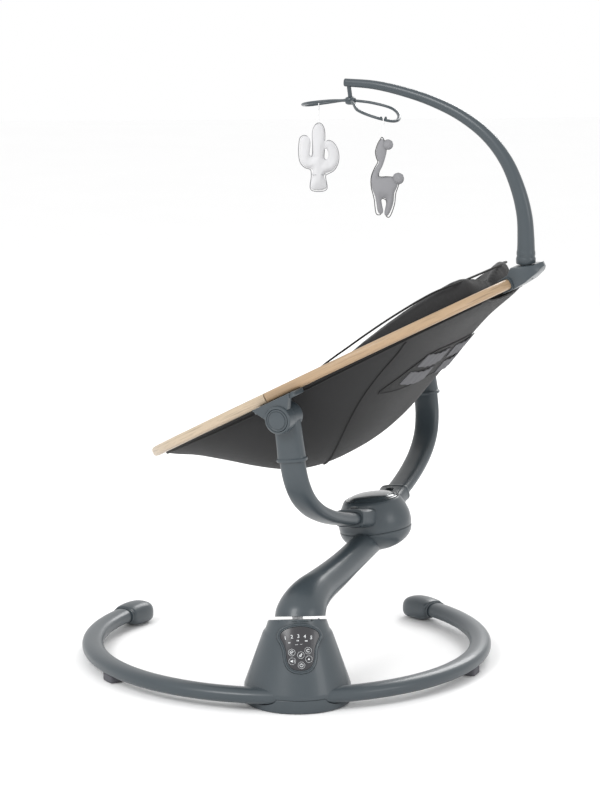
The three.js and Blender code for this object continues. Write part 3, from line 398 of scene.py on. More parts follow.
class Recipe:
    """One material, built node by node."""

    def __init__(self, name):
        self.material = bpy.data.materials.new(name)
        self.material.use_nodes = True
        self.tree = self.material.node_tree
        self.shader = self.tree.nodes["Principled BSDF"]

    def node(self, kind, settings=None, sockets=None, out=0):
        made = self.tree.nodes.new(kind)
        for key, value in (settings or {}).items():
            setattr(made, key, value)
        for key, value in (sockets or {}).items():
            self._set(made.inputs[key], value)
        return Number(self, made.outputs[out])

    def _set(self, socket, value):
        if isinstance(value, Number):
            self.tree.links.new(value.socket, socket)
        elif socket.type == "RGBA":
            socket.default_value = (*value[:3], 1.0)
        else:
            socket.default_value = value

    def set(self, **values):
        for key, value in values.items():
            self._set(self.shader.inputs[key.replace("_", " ")], value)
        return self

    def where(self, source, stretch=(1, 1, 1)):
        """Object coordinates, or the piece's own cut, stretched."""
        place = self.node("ShaderNodeTexCoord", out=source)
        return self.node("ShaderNodeVectorMath", {"operation": "MULTIPLY"}, {0: place, 1: stretch})

    def noise(self, scale, detail=2.0, stretch=(1, 1, 1), source="Object"):
        return self.node("ShaderNodeTexNoise", None,
                         {"Vector": self.where(source, stretch), "Scale": scale, "Detail": detail})

    def cells(self, scale, source="Object"):
        return self.node("ShaderNodeTexVoronoi", None,
                         {"Vector": self.where(source), "Scale": scale})

    def mix(self, share, first, second):
        return self.node("ShaderNodeMix", {"data_type": "RGBA"}, {0: share, 6: first, 7: second}, 2)

    def bump(self, height, strength, distance):
        return self.node("ShaderNodeBump", None,
                         {"Height": height, "Strength": strength, "Distance": distance})

    def part(self, source, axis):
        """One number of the coordinates: 0, 1 or 2."""
        place = self.node("ShaderNodeTexCoord", out=source)
        return self.node("ShaderNodeSeparateXYZ", None, {0: place}, axis)


def shade(colour, factor):
    return tuple(min(1.0, channel * factor) for channel in colour)


def moulded_plastic(name, colour, roughness=0.4, grain=0.3, coat=0.0):
    recipe = Recipe(name)
    cloud = recipe.noise(14.0, 3.0)
    fine = recipe.noise(1500.0, 2.0)
    tone = recipe.mix(cloud, shade(colour, 0.9), shade(colour, 1.1))
    recipe.set(Base_Color=recipe.mix(fine * 0.25, tone, shade(colour, 1.35)),
               Roughness=cloud * 0.08 + fine * 0.06 + (roughness - 0.07),
               Coat_Weight=coat, Normal=recipe.bump(fine, grain, 0.00008))


def gloss_plastic(name, colour, roughness=0.1):
    recipe = Recipe(name)
    smear = recipe.noise(45.0, 4.0, (1, 1, 0.4))
    recipe.set(Base_Color=recipe.mix(smear, shade(colour, 0.9), shade(colour, 1.2)),
               Roughness=smear * 0.08 + roughness, Coat_Weight=0.6)
    recipe.shader.inputs["Coat Roughness"].default_value = 0.05


def brushed_steel(name, colour):
    recipe = Recipe(name)
    streak = recipe.noise(900.0, 3.0, (1, 1, 0.05))
    recipe.set(Base_Color=recipe.mix(streak, shade(colour, 0.8), shade(colour, 1.05)), Metallic=1.0,
               Roughness=streak * 0.2 + 0.2, Normal=recipe.bump(streak, 0.15, 0.00005))


def grained_wood(name, colour):
    """Long grain that follows the rail, with pores, growth lines and a satin lacquer."""
    recipe = Recipe(name)
    band = recipe.noise(1.0, 3.0, (5, 60, 1), "UV")
    grain = recipe.noise(1.0, 5.0, (14, 420, 1), "UV")
    pores = recipe.noise(1.0, 2.0, (60, 1500, 1), "UV")
    pale = recipe.mix(band, shade(colour, 0.84), shade(colour, 1.16))
    lined = recipe.mix((grain > 0.56) * (grain - 0.5) * 4.0, pale, shade(colour, 0.55))
    recipe.set(Base_Color=recipe.mix((pores > 0.64) * 0.3, lined, shade(colour, 0.42)),
               Roughness=grain * 0.2 + 0.36, Normal=recipe.bump(grain + pores * 0.5, 0.25, 0.0002),
               Coat_Weight=0.15)


def woven(name, colour, thread=0.0011, melange=0.15, ribs=0.0, roughness=0.92):
    """A plain weave that follows the cloth's own cut, with lighter and darker yarns."""
    recipe = Recipe(name)
    turn = 2 * math.pi / thread
    warp = (recipe.part("UV", 0) * turn).sine()
    weft = (recipe.part("UV", 1) * turn).sine()
    yarn = recipe.noise(1.0, 3.0, (260, 900, 1), "UV")
    cross = recipe.noise(1.0, 3.0, (900, 260, 1), "UV")
    fade = recipe.noise(7.0, 3.0)
    height = warp * weft * 0.5 + yarn * 0.6
    if ribs:
        height = height + (recipe.part("UV", 1) * (2 * math.pi / ribs)).sine() * 1.2
    base = recipe.mix(fade, shade(colour, 0.86), shade(colour, 1.14))
    light = recipe.mix((yarn > 0.58) * melange, base, shade(colour, 2.6))
    recipe.set(Base_Color=recipe.mix((cross > 0.6) * melange, light, shade(colour, 0.4)),
               Roughness=yarn * 0.1 + (roughness - 0.05), Normal=recipe.bump(height, 0.5, 0.0003),
               Sheen_Weight=0.1)
    recipe.shader.inputs["Sheen Roughness"].default_value = 0.5


def knitted(name, colour, melange=0.5, fuzz=0.0006):
    """A soft jersey or felt on a stuffed piece, with flecks of lighter and darker fibre."""
    recipe = Recipe(name)
    fleck = recipe.noise(620.0, 4.0, (1, 1, 0.55))
    fibre = recipe.noise(1700.0, 3.0)
    fade = recipe.noise(22.0, 3.0)
    base = recipe.mix(fade, shade(colour, 0.88), shade(colour, 1.12))
    light = recipe.mix((fleck > 0.55) * melange, base, shade(colour, 1.6))
    recipe.set(Base_Color=recipe.mix((fibre > 0.6) * melange, light, shade(colour, 0.5)),
               Roughness=fibre * 0.08 + 0.88, Normal=recipe.bump(fibre + fleck, 0.55, fuzz),
               Sheen_Weight=0.12)
    recipe.shader.inputs["Sheen Roughness"].default_value = 0.45


def board_lacquer(name, colour):
    recipe = Recipe(name)
    track = recipe.cells(420.0)
    recipe.set(Base_Color=recipe.mix((track > 0.6) * 0.6, colour, shade(colour, 2.2)),
               Roughness=track * 0.2 + 0.3, Normal=recipe.bump(track, 0.3, 0.0001))


def twisted_cord(name, colour):
    recipe = Recipe(name)
    twist = (recipe.part("UV", 0) * 4200.0 + recipe.part("UV", 1) * 2900.0).sine()
    # The grooves of the twist are painted darker than the cord's own colour: painted shade in the grooves.
    recipe.set(Base_Color=recipe.mix(twist * 0.5 + 0.5, shade(colour, 0.75), colour),
               Roughness=twist * 0.05 + 0.75, Normal=recipe.bump(twist, 0.6, 0.0002))


# ---- settings -----------------------------------------------------------------------------------
def length_setting(name, words, millimetres):
    return bpy.props.FloatProperty(name=name, description=words, default=millimetres * MM,
                                   min=0.0001, unit="LENGTH", precision=4)


def colour_setting(name, words, red, green, blue):
    return bpy.props.FloatVectorProperty(name=name, description=words, size=3, subtype="COLOR",
                                         default=srgb(red, green, blue), min=0.0, max=1.0)


class SwingBaseSizes(bpy.types.PropertyGroup):
    ring_width: length_setting("Ring tube width", "Width of the floor ring's tube", 33)
    ring_height: length_setting("Ring tube height", "Height of the floor ring's tube", 23)
    cap_width: length_setting("End cap width", "Width of the ring's end caps", 42)
    bezel_width: length_setting("Bezel width", "Width of the frame round the control panel", 4.4)
    digit_height: length_setting("Digit height", "Height of the panel's numbers", 5.4)
    yoke_width: length_setting("Yoke width", "Wide side of the yoke's flat tube", 40)
    yoke_depth: length_setting("Yoke depth", "Thin side of the yoke's flat tube", 20)


class SwingSeatSizes(bpy.types.PropertyGroup):
    cloth_thickness: length_setting("Sling thickness", "Thickness of the sling's cloth", 2)
    piping: length_setting("Piping", "Radius of the piped seams", 1.7)
    strap_width: length_setting("Strap width", "Width of the harness webbing", 25)
    bar_foot: length_setting("Toy bar foot", "Width of the toy bar at its foot", 28)
    bar_tip: length_setting("Toy bar tip", "Width of the toy bar at its tip", 12)
    wing_rim: length_setting("Wing rim", "Thickness of the spinner's wing rims", 4.4)
    string: length_setting("String", "Diameter of the toys' strings", 1.4)


class SwingColours(bpy.types.PropertyGroup):
    slate: colour_setting("Slate plastic", "Housing, ring, arm, hub and yoke", 58, 66, 71)
    dark_slate: colour_setting("Dark plastic", "Tray, buckle and socket buttons", 36, 42, 45)
    panel: colour_setting("Panel", "The glossy control panel", 14, 15, 17)
    print_ink: colour_setting("Print", "Numbers and signs on the panel", 225, 228, 230)
    wood: colour_setting("Wood", "Head half of the rim", 168, 142, 112)
    # The foot half is the same wood as the head half, painted lighter: painted light for how the light falls on the
    # foot half.
    pale_wood: colour_setting("Pale wood", "Foot half of the rim", 186, 168, 144)
    sling: colour_setting("Sling", "Woven sling cloth", 30, 30, 31)
    pads: colour_setting("Pads", "Jersey of the pads and the insert", 40, 40, 41)
    # The dark lining is the near-black sheet in the sling's strap opening, which is painted shade.
    piping: colour_setting("Piping", "Piped seams, hems and dark linings", 14, 14, 15)
    webbing: colour_setting("Webbing", "Harness webbing", 34, 34, 35)
    light_felt: colour_setting("Light felt", "Light hanging toy", 116, 117, 119)
    dark_felt: colour_setting("Dark felt", "Dark hanging toy", 31, 32, 34)
    string: colour_setting("String", "Strings of the toys", 214, 214, 212)
    rubber: colour_setting("Rubber", "Foot pads and the power inlet", 30, 31, 33)
    steel: colour_setting("Steel", "Screws, pins, shafts and the spring", 196, 198, 202)
    nylon: colour_setting("Nylon", "The drive gear", 214, 208, 194)
    board: colour_setting("Board", "Lacquer of the circuit board", 30, 92, 58)


class SwingOperator(bpy.types.Operator):
    """One group of the swing's pieces"""
    bl_options = {"REGISTER"}

    def execute(self, context):
        self.base = context.scene.swing_base
        self.seat = context.scene.swing_seat
        self.colours = context.scene.swing_colours
        self.build(context)
        return {"FINISHED"}


# ---- stage and finishes -------------------------------------------------------------------------
class SWING_OT_stage(SwingOperator):
    """Camera, lights and a pale floor"""
    bl_idname = "swing.stage"
    bl_label = "Stage"

    def build(self, context):
        scene = context.scene
        scene.view_settings.view_transform = "Standard"
        camera = bpy.data.objects.new("camera", bpy.data.cameras.new("camera"))
        scene.collection.objects.link(camera)
        camera.location = (-0.2842, -4.1142, 1.2420)
        camera.rotation_euler = (rad(79.1), 0, rad(-4))
        camera.data.sensor_fit = "HORIZONTAL"
        camera.data.sensor_width = 36
        camera.data.lens = 174.8
        scene.camera = camera
        world = bpy.data.worlds.new("studio")
        world.use_nodes = True
        sky = world.node_tree.nodes["Background"]
        sky.inputs["Color"].default_value = (1, 1, 1, 1)
        sky.inputs["Strength"].default_value = 1.0
        scene.world = world
        middle = Vector((0.05, 0.22, 0.4))
        for name, place, size, watts in (("key", (-1.7, -1.9, 2.3), 1.3, 46),
                                         ("fill", (2.2, -1.6, 1.2), 1.0, 10),
                                         ("rear", (1.2, 2.4, 1.8), 1.2, 30)):
            lamp = bpy.data.lights.new(name, "AREA")
            lamp.shape = "SQUARE"
            lamp.size = size
            lamp.energy = watts
            lamp_object = bpy.data.objects.new(name, lamp)
            scene.collection.objects.link(lamp_object)
            lamp_object.location = place
            lamp_object.rotation_euler = (middle - Vector(place)).to_track_quat("-Z", "Y").to_euler()
        recipe = Recipe("studio_floor")
        cloud = recipe.noise(3.0)
        recipe.set(Base_Color=recipe.mix(cloud, (0.97, 0.97, 0.97), (0.99, 0.99, 0.99)),
                   Roughness=0.9)
        bm = bmesh.new()
        bmesh.ops.create_grid(bm, x_segments=4, y_segments=4, size=9000)
        floor = body_shape(bm, moved(0, 0, -0.4))
        floor.name = "studio_floor"
        floor.data.materials.append(recipe.material)


class SWING_OT_finishes(SwingOperator):
    """Makes the finishes, and puts them on the pieces that keep the model's own shape"""
    bl_idname = "swing.finishes"
    bl_label = "Finishes"

    def build(self, context):
        c = self.colours
        moulded_plastic("slate", c.slate, 0.36, coat=0.1)
        moulded_plastic("dark_slate", c.dark_slate, 0.42)
        moulded_plastic("socket_button", c.dark_slate, 0.3, 0.15)
        moulded_plastic("print_ink", c.print_ink, 0.5, 0.1)
        moulded_plastic("nylon", c.nylon, 0.5, 0.2)
        moulded_plastic("rubber", c.rubber, 0.85, 0.6)
        gloss_plastic("panel_gloss", c.panel)
        gloss_plastic("disc_gloss", shade(c.slate, 0.8), 0.16)
        brushed_steel("steel", c.steel)
        grained_wood("wood", c.wood)
        # A lighter copy of the wood for the foot half of the rim: painted light.
        grained_wood("pale_wood", c.pale_wood)
        woven("sling_cloth", c.sling, 0.0012, 0.1)
        woven("piping", c.piping, 0.0009, 0.05)
        woven("webbing", c.webbing, 0.0014, 0.2, ribs=0.004)
        knitted("pad_jersey", c.pads, 0.3, 0.0004)
        knitted("light_felt", c.light_felt, 0.5)
        knitted("dark_felt", c.dark_felt, 0.35)
        twisted_cord("string", c.string)
        board_lacquer("board", c.board)
        kept = {
            "steel": ["tray_screw_1", "tray_screw_2", "tray_screw_3", "tray_screw_4",
                      "spindle_bearing",
                      "drive_motor", "motor_pinion", "turntable_post", "drive_spindle",
                      "button_spring",
                      "pivot_pin_near", "pivot_pin_far"],
            "nylon": ["drive_gear"],
            "board": ["circuit_board"],
            "rubber": ["power_inlet"],
            "dark_slate": ["speaker"],
        }
        for finish, names in kept.items():
            for name in names:
                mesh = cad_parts[name].data
                mesh.materials.clear()
                mesh.materials.append(bpy.data.materials[finish])


# ---- strings of the toys ------------------------------------------------------------------------
WING_EDGE = [(0.05, 0.14, 0), (0.28, 0.55, 0.1), (0.56, 1, 0.4), (0.82, 0.74, 0.75),
             (0.98, 0.17, 1)]
NOTCH_AT = 0.61
TOYS = (("cactus", 124, 14, 29), ("llama", -56, 23, 26))


def wing_route(heading, drop):
    leaf = [(out, wide, droop) for out, wide, droop in WING_EDGE]
    leaf += [(out, -wide, droop) for out, wide, droop in reversed(WING_EDGE)]
    spin = turned(heading, "Z")
    return Route([spin @ Vector((out * WING_L, wide * WING_W, -drop * droop - 2))
                  for out, wide, droop in leaf])


def hang_frame(heading, drop):
    """Where a toy's string goes over the wing, with +X along the wing's rim."""
    route = wing_route(heading, drop)
    tangent = route.along(NOTCH_AT)
    point = route.at(NOTCH_AT)
    turn = math.degrees(math.atan2(tangent.y, tangent.x))
    return SPINNER @ moved(*point) @ turned(turn, "Z"), SPINNER @ moved(*point)


class SWING_OT_toy_strings(SwingOperator):
    """The strings that loop over the wings and carry the toys"""
    bl_idname = "swing.toy_strings"
    bl_label = "Toy strings"

    def build(self, context):
        thick = self.seat.string / MM
        loop = self.seat.wing_rim / MM / 2 + thick / 2 + 0.5
        for toy, heading, droop, drop in TOYS:
            place = hang_frame(heading, droop)[0]
            route = Route([(0, -loop * 0.95, -3), (0, -loop, 0), (0, -loop * 0.7, loop * 0.7),
                           (0, 0, loop),
                           (0, loop * 0.7, loop * 0.7), (0, loop, 0), (0, loop * 0.85, -4),
                           (0, 0.4, -9),
                           (0, 0, -drop / 2), (0, 0, -drop + 0.3)])
            points = [route.at(k / 60) for k in range(61)]
            string = piece(sweep(route.at, lambda u: X_AXIS, lambda u, v: oval(v, thick, thick), 60,
                                 10),
                           place, f"{toy}_string_cord", f"{toy}_string", "string",
                           [f"{toy}_string"])
            coil = Route([(0.9 * math.cos(1.5 * k), 0.9 * math.sin(1.5 * k) - loop * 0.45,
                           -4.6 - 0.22 * k)
                          for k in range(16)])
            knot = piece(sweep(coil.at, lambda u: Vector((0.1, 0.1, 1)), lambda u,
                               v: oval(v, 1.1, 1.1), 48, 8),
                         place, f"{toy}_string_knot", f"{toy}_string", "string")
            path = [place @ (point * MM) for point in points]
            tuple(path[0])
            round(length_of(path), 4)


# ---- base ---------------------------------------------------------------------------------------
def ring_line(side, start, end, z=RING_Z):
    def line(u):
        a = rad(start + (end - start) * u)
        return Vector((side * RING_R * math.sin(a), RING_MID_Y - RING_R * math.cos(a), z))

    def across(u):
        a = rad(start + (end - start) * u)
        return Vector((side * math.sin(a), -math.cos(a), 0))

    return line, across


def ring_solid(side, width, height, start=RING_HOLD, grow=0.0, end=CAP_START, rows=120):
    line, across = ring_line(side, start, end)
    return sweep(line, across, lambda u, v: oval(v, width + 2 * grow, height + 2 * grow, 2.3), rows,
                 36)


class SWING_OT_floor_ring(SwingOperator):
    """Both tubes of the floor ring, their end caps and the foot pads"""
    bl_idname = "swing.floor_ring"
    bl_label = "Floor ring"

    def build(self, context):
        width, height, cap = (value / MM for value in (self.base.ring_width, self.base.ring_height,
                                                       self.base.cap_width))
        full = smooth([(0, 0.9), (0.035, 0.9), (0.05, 0.84), (0.07, 0.84), (0.085, 0.93),
                       (0.14, 1.0),
                       (0.5, 1.03), (0.75, 0.93), (0.9, 0.72), (0.97, 0.46), (1, 0.1)])
        crown = smooth([(0, 12.3), (0.05, 11.6), (0.07, 11.6), (0.09, 13.6), (0.3, 15.8),
                        (0.6, 15.6),
                        (0.8, 13), (0.93, 8.4), (1, 1.5)])
        base = smooth([(0, 9.3), (0.08, 9.2), (0.2, 4), (0.36, 0.6), (0.5, 0.2), (0.85, 0.5),
                       (0.95, 3.6),
                       (1, 10)])
        for hand, side in HANDS:
            piece(ring_solid(side, width, height), BASE, f"ring_tube_{hand}_shell", "base", "slate",
                  [f"ring_tube_{hand}"])
            line, across = ring_line(side, CAP_START + 0.06, CAP_END)

            def cap_line(u):
                return line(u) + Vector((0, 0, (base(u) + RING_Z + crown(u)) / 2 - RING_Z))

            def cap_point(u, v):
                a, b = oval(v, cap * full(u), RING_Z + crown(u) - base(u), 2.5)
                return cap_line(u) + across(u) * a + Z_AXIS * b

            piece(surface(cap_point, 72, 40, fill_ends=True), BASE, f"ring_cap_{hand}", "base",
                  "slate",
                  [f"ring_end_cap_{hand}"], 50)
            self.foot(hand, side, width, height)

    def foot(self, hand, side, width, height):
        """A rubber block that hugs the tube, with grip ribs round its foot."""
        at = rad(FOOT_PAD_AT)
        heading = Matrix.Rotation(side * (at - math.pi / 2) if side > 0 else math.pi / 2 - at, 4,
                                  "Z")
        middle = Vector((side * RING_R * math.sin(at), RING_MID_Y - RING_R * math.cos(at), 0))
        block = into(rounded_box(24, 29, 0.4, 13.4, 5.0, 1.6), Matrix.Translation(middle) @ heading)
        shape = body_shape(block, BASE)
        grooves = []
        for k in (-1, 0, 1):
            groove = rounded_box(40, 1.6, -1, 1.3, 6.0, 0.3, 16)
            grooves.append(body_shape(into(groove, Matrix.Translation(middle) @ heading @ at_mm(0, k * 7, 0)), BASE))
        tube = body_shape(ring_solid(side, width, height, 55, 0.3, 73, 24), BASE)
        combine(shape, [tube, *grooves], "DIFFERENCE")
        show(shape, f"foot_{hand}", "base", "rubber", [f"foot_pad_{hand}"])


class SWING_OT_housing(SwingOperator):
    """The motor housing and the tray under it"""
    bl_idname = "swing.housing"
    bl_label = "Motor housing"

    def build(self, context):
        width, height = self.base.ring_width / MM, self.base.ring_height / MM
        slope = (HOUSING_R - HOUSING_TOP_R) / (HOUSING_H - SKIRT_H)

        def cone(z, lift=0.0):
            return (HOUSING_R - slope * (z - SKIRT_H) + lift, z)

        outer = [(HOUSING_R - 0.7, TRAY_H), (HOUSING_R, TRAY_H + 0.7), (HOUSING_R, SKIRT_H - 1.2),
                 (HOUSING_R - 0.25, SKIRT_H + 0.6), cone(SKIRT_H + 3), cone(50, 0.4), cone(75, 1.0),
                 cone(98, 1.5), cone(102.6, 1.5), cone(104.6, 0.9), cone(106.4, -0.2),
                 cone(108.5, -0.3),
                 cone(121), cone(160), (0, 160)]
        shape_bm = lathe(outer, 112)
        geometry = list(shape_bm.verts) + list(shape_bm.edges) + list(shape_bm.faces)
        bmesh.ops.bisect_plane(shape_bm, geom=geometry, plane_co=(0, 0, HOUSING_H),
                               plane_no=SWING_AXIS,
                               clear_outer=True)
        top = [e for e in shape_bm.edges if e.is_boundary and e.verts[0].co.z > 60]
        bmesh.ops.holes_fill(shape_bm, edges=top, sides=0)
        bmesh.ops.bevel(shape_bm, geom=top, offset=1.5, offset_type="OFFSET", segments=3,
                        profile=0.5,
                        affect="EDGES", material=-1, clamp_overlap=True)
        bmesh.ops.recalc_face_normals(shape_bm, faces=shape_bm.faces)
        housing = body_shape(shape_bm, BASE)
        wall = housing.modifiers.new("wall", "SOLIDIFY")
        wall.thickness = WALL * MM
        wall.offset = -1
        settle(housing)
        holes = [body_shape(ring_solid(side, width, height, 0, 1.3, 30, 40), BASE) for _,
                 side in HANDS]
        bearing = into(lathe([(0, -20), (14.3, -20), (14.3, 20), (0, 20)], 48),
                       at_mm(0, 0, HOUSING_H) @ Matrix.Rotation(-rad(LEAN), 4, "X"))
        inlet = into(rounded_box(13.6, 11.6, -20, 20, 6.0, 0.4), at_mm(0, HOUSING_R, 36)
                     @ Matrix.Rotation(math.pi / 2, 4, "X"))
        rim = self.base.bezel_width / MM + 0.3
        pocket = surface(lambda u, v: panel_edge(v, rim, -16 + 60 * u), 2, 96, fill_ends=True)
        combine(housing, [*holes, body_shape(bearing, BASE), body_shape(inlet, BASE),
                          body_shape(into(pocket, PANEL_FRAME), BASE)], "DIFFERENCE")
        show(housing, "housing_shell", "base", "slate", ["motor_housing"], 32)

        tray = body_shape(lathe([(0, 0.2), (HOUSING_R - 2.4, 0.2), (HOUSING_R - 0.6, 0.9),
                                 (HOUSING_R - 0.1, 2.4),
                                 (HOUSING_R, TRAY_H - 1), (HOUSING_R - 0.5, TRAY_H - 0.35),
                                 (HOUSING_R - WALL, TRAY_H - 0.35), (HOUSING_R - WALL, 4), (0, 4)],
                                112), BASE)
        holes = [body_shape(ring_solid(side, width, height, 0, 1.3, 30, 40), BASE) for _,
                 side in HANDS]
        wells = [body_shape(into(lathe([(0, -2), (4.2, -2), (4.2, 3), (2.3, 3), (2.3, 8), (0, 8)],
                                       20),
                                 at_mm(60 * math.cos(rad(a)), 60 * math.sin(rad(a)), 0)), BASE)
                 for a in (60, 120, 255, 285)]
        combine(tray, [*holes, *wells], "DIFFERENCE")
        show(tray, "housing_tray", "base", "slate", ["under_tray"], 32)


PANEL_SLOPE = math.atan2(HOUSING_R - HOUSING_TOP_R, HOUSING_H - SKIRT_H)
PANEL_Z = 90
PANEL_Y = -(HOUSING_TOP_R + (HOUSING_H - PANEL_Z) * math.tan(PANEL_SLOPE))
PANEL_FRAME = at_mm(0, PANEL_Y, PANEL_Z) @ Matrix.Rotation(math.pi / 2 - PANEL_SLOPE, 4, "X")
PANEL_CROWN = 78
PANEL_RISE = 1.5
INK_Z, INK_TOP = 0.72, 0.84      # printed signs, over the panel's own flat
PANEL_HALF = smooth([(-31, 0), (-29, 9.5), (-24, 16), (-14, 20), (0, 21.5), (12, 25.5), (19, 29),
                     (24, 28),
                     (28.5, 24), (33, 12), (34.5, 0)])
PANEL_LEVELS = (-31, -30.6, -30, -29, -27.5, -25.5, -23, -19, -14, -9, -4, 1, 6, 10, 14, 17, 19, 21,
                23,
                25, 27, 29, 30.5, 32, 33.2, 34.1, 34.5)


def panel_route():
    right = [(PANEL_HALF(z), z, 0) for z in PANEL_LEVELS]
    left = [(-x, z, 0) for x, z, _ in reversed(right[1:-1])]
    return Route(right + left, closed=True)


def panel_edge(turn, outward, height):
    """A point beside the panel's outline, at a share of the turn round it."""
    route = panel_route()
    point, tangent = route.at(turn % 1.0), route.along(turn % 1.0)
    return Vector((point.x + tangent.y * outward, point.y - tangent.x * outward, height))


def on_panel(x, y, height):
    """A point on the housing's rounded front, height in front of the panel's middle."""
    return Vector((x, y, height + PANEL_RISE - x * x / (2 * PANEL_CROWN)))


def follow_front(bm):
    for vert in bm.verts:
        vert.co = on_panel(*vert.co)
    return into(bm, PANEL_FRAME)


def band(route, profile):
    """A closed frame along a flat route: profile holds (outward, height) points."""
    count = len(profile)

    def at(u, v):
        turn = u % 1.0
        point, tangent = route.at(turn), route.along(turn)
        outward = Vector((tangent.y, -tangent.x, 0))
        place = (v * count) % count
        i = int(place)
        (d0, h0), (d1, h1) = profile[i], profile[(i + 1) % count]
        out, height = d0 + (d1 - d0) * (place - i), h0 + (h1 - h0) * (place - i)
        flat = point + outward * out
        return on_panel(flat.x, flat.y, height)

    return at


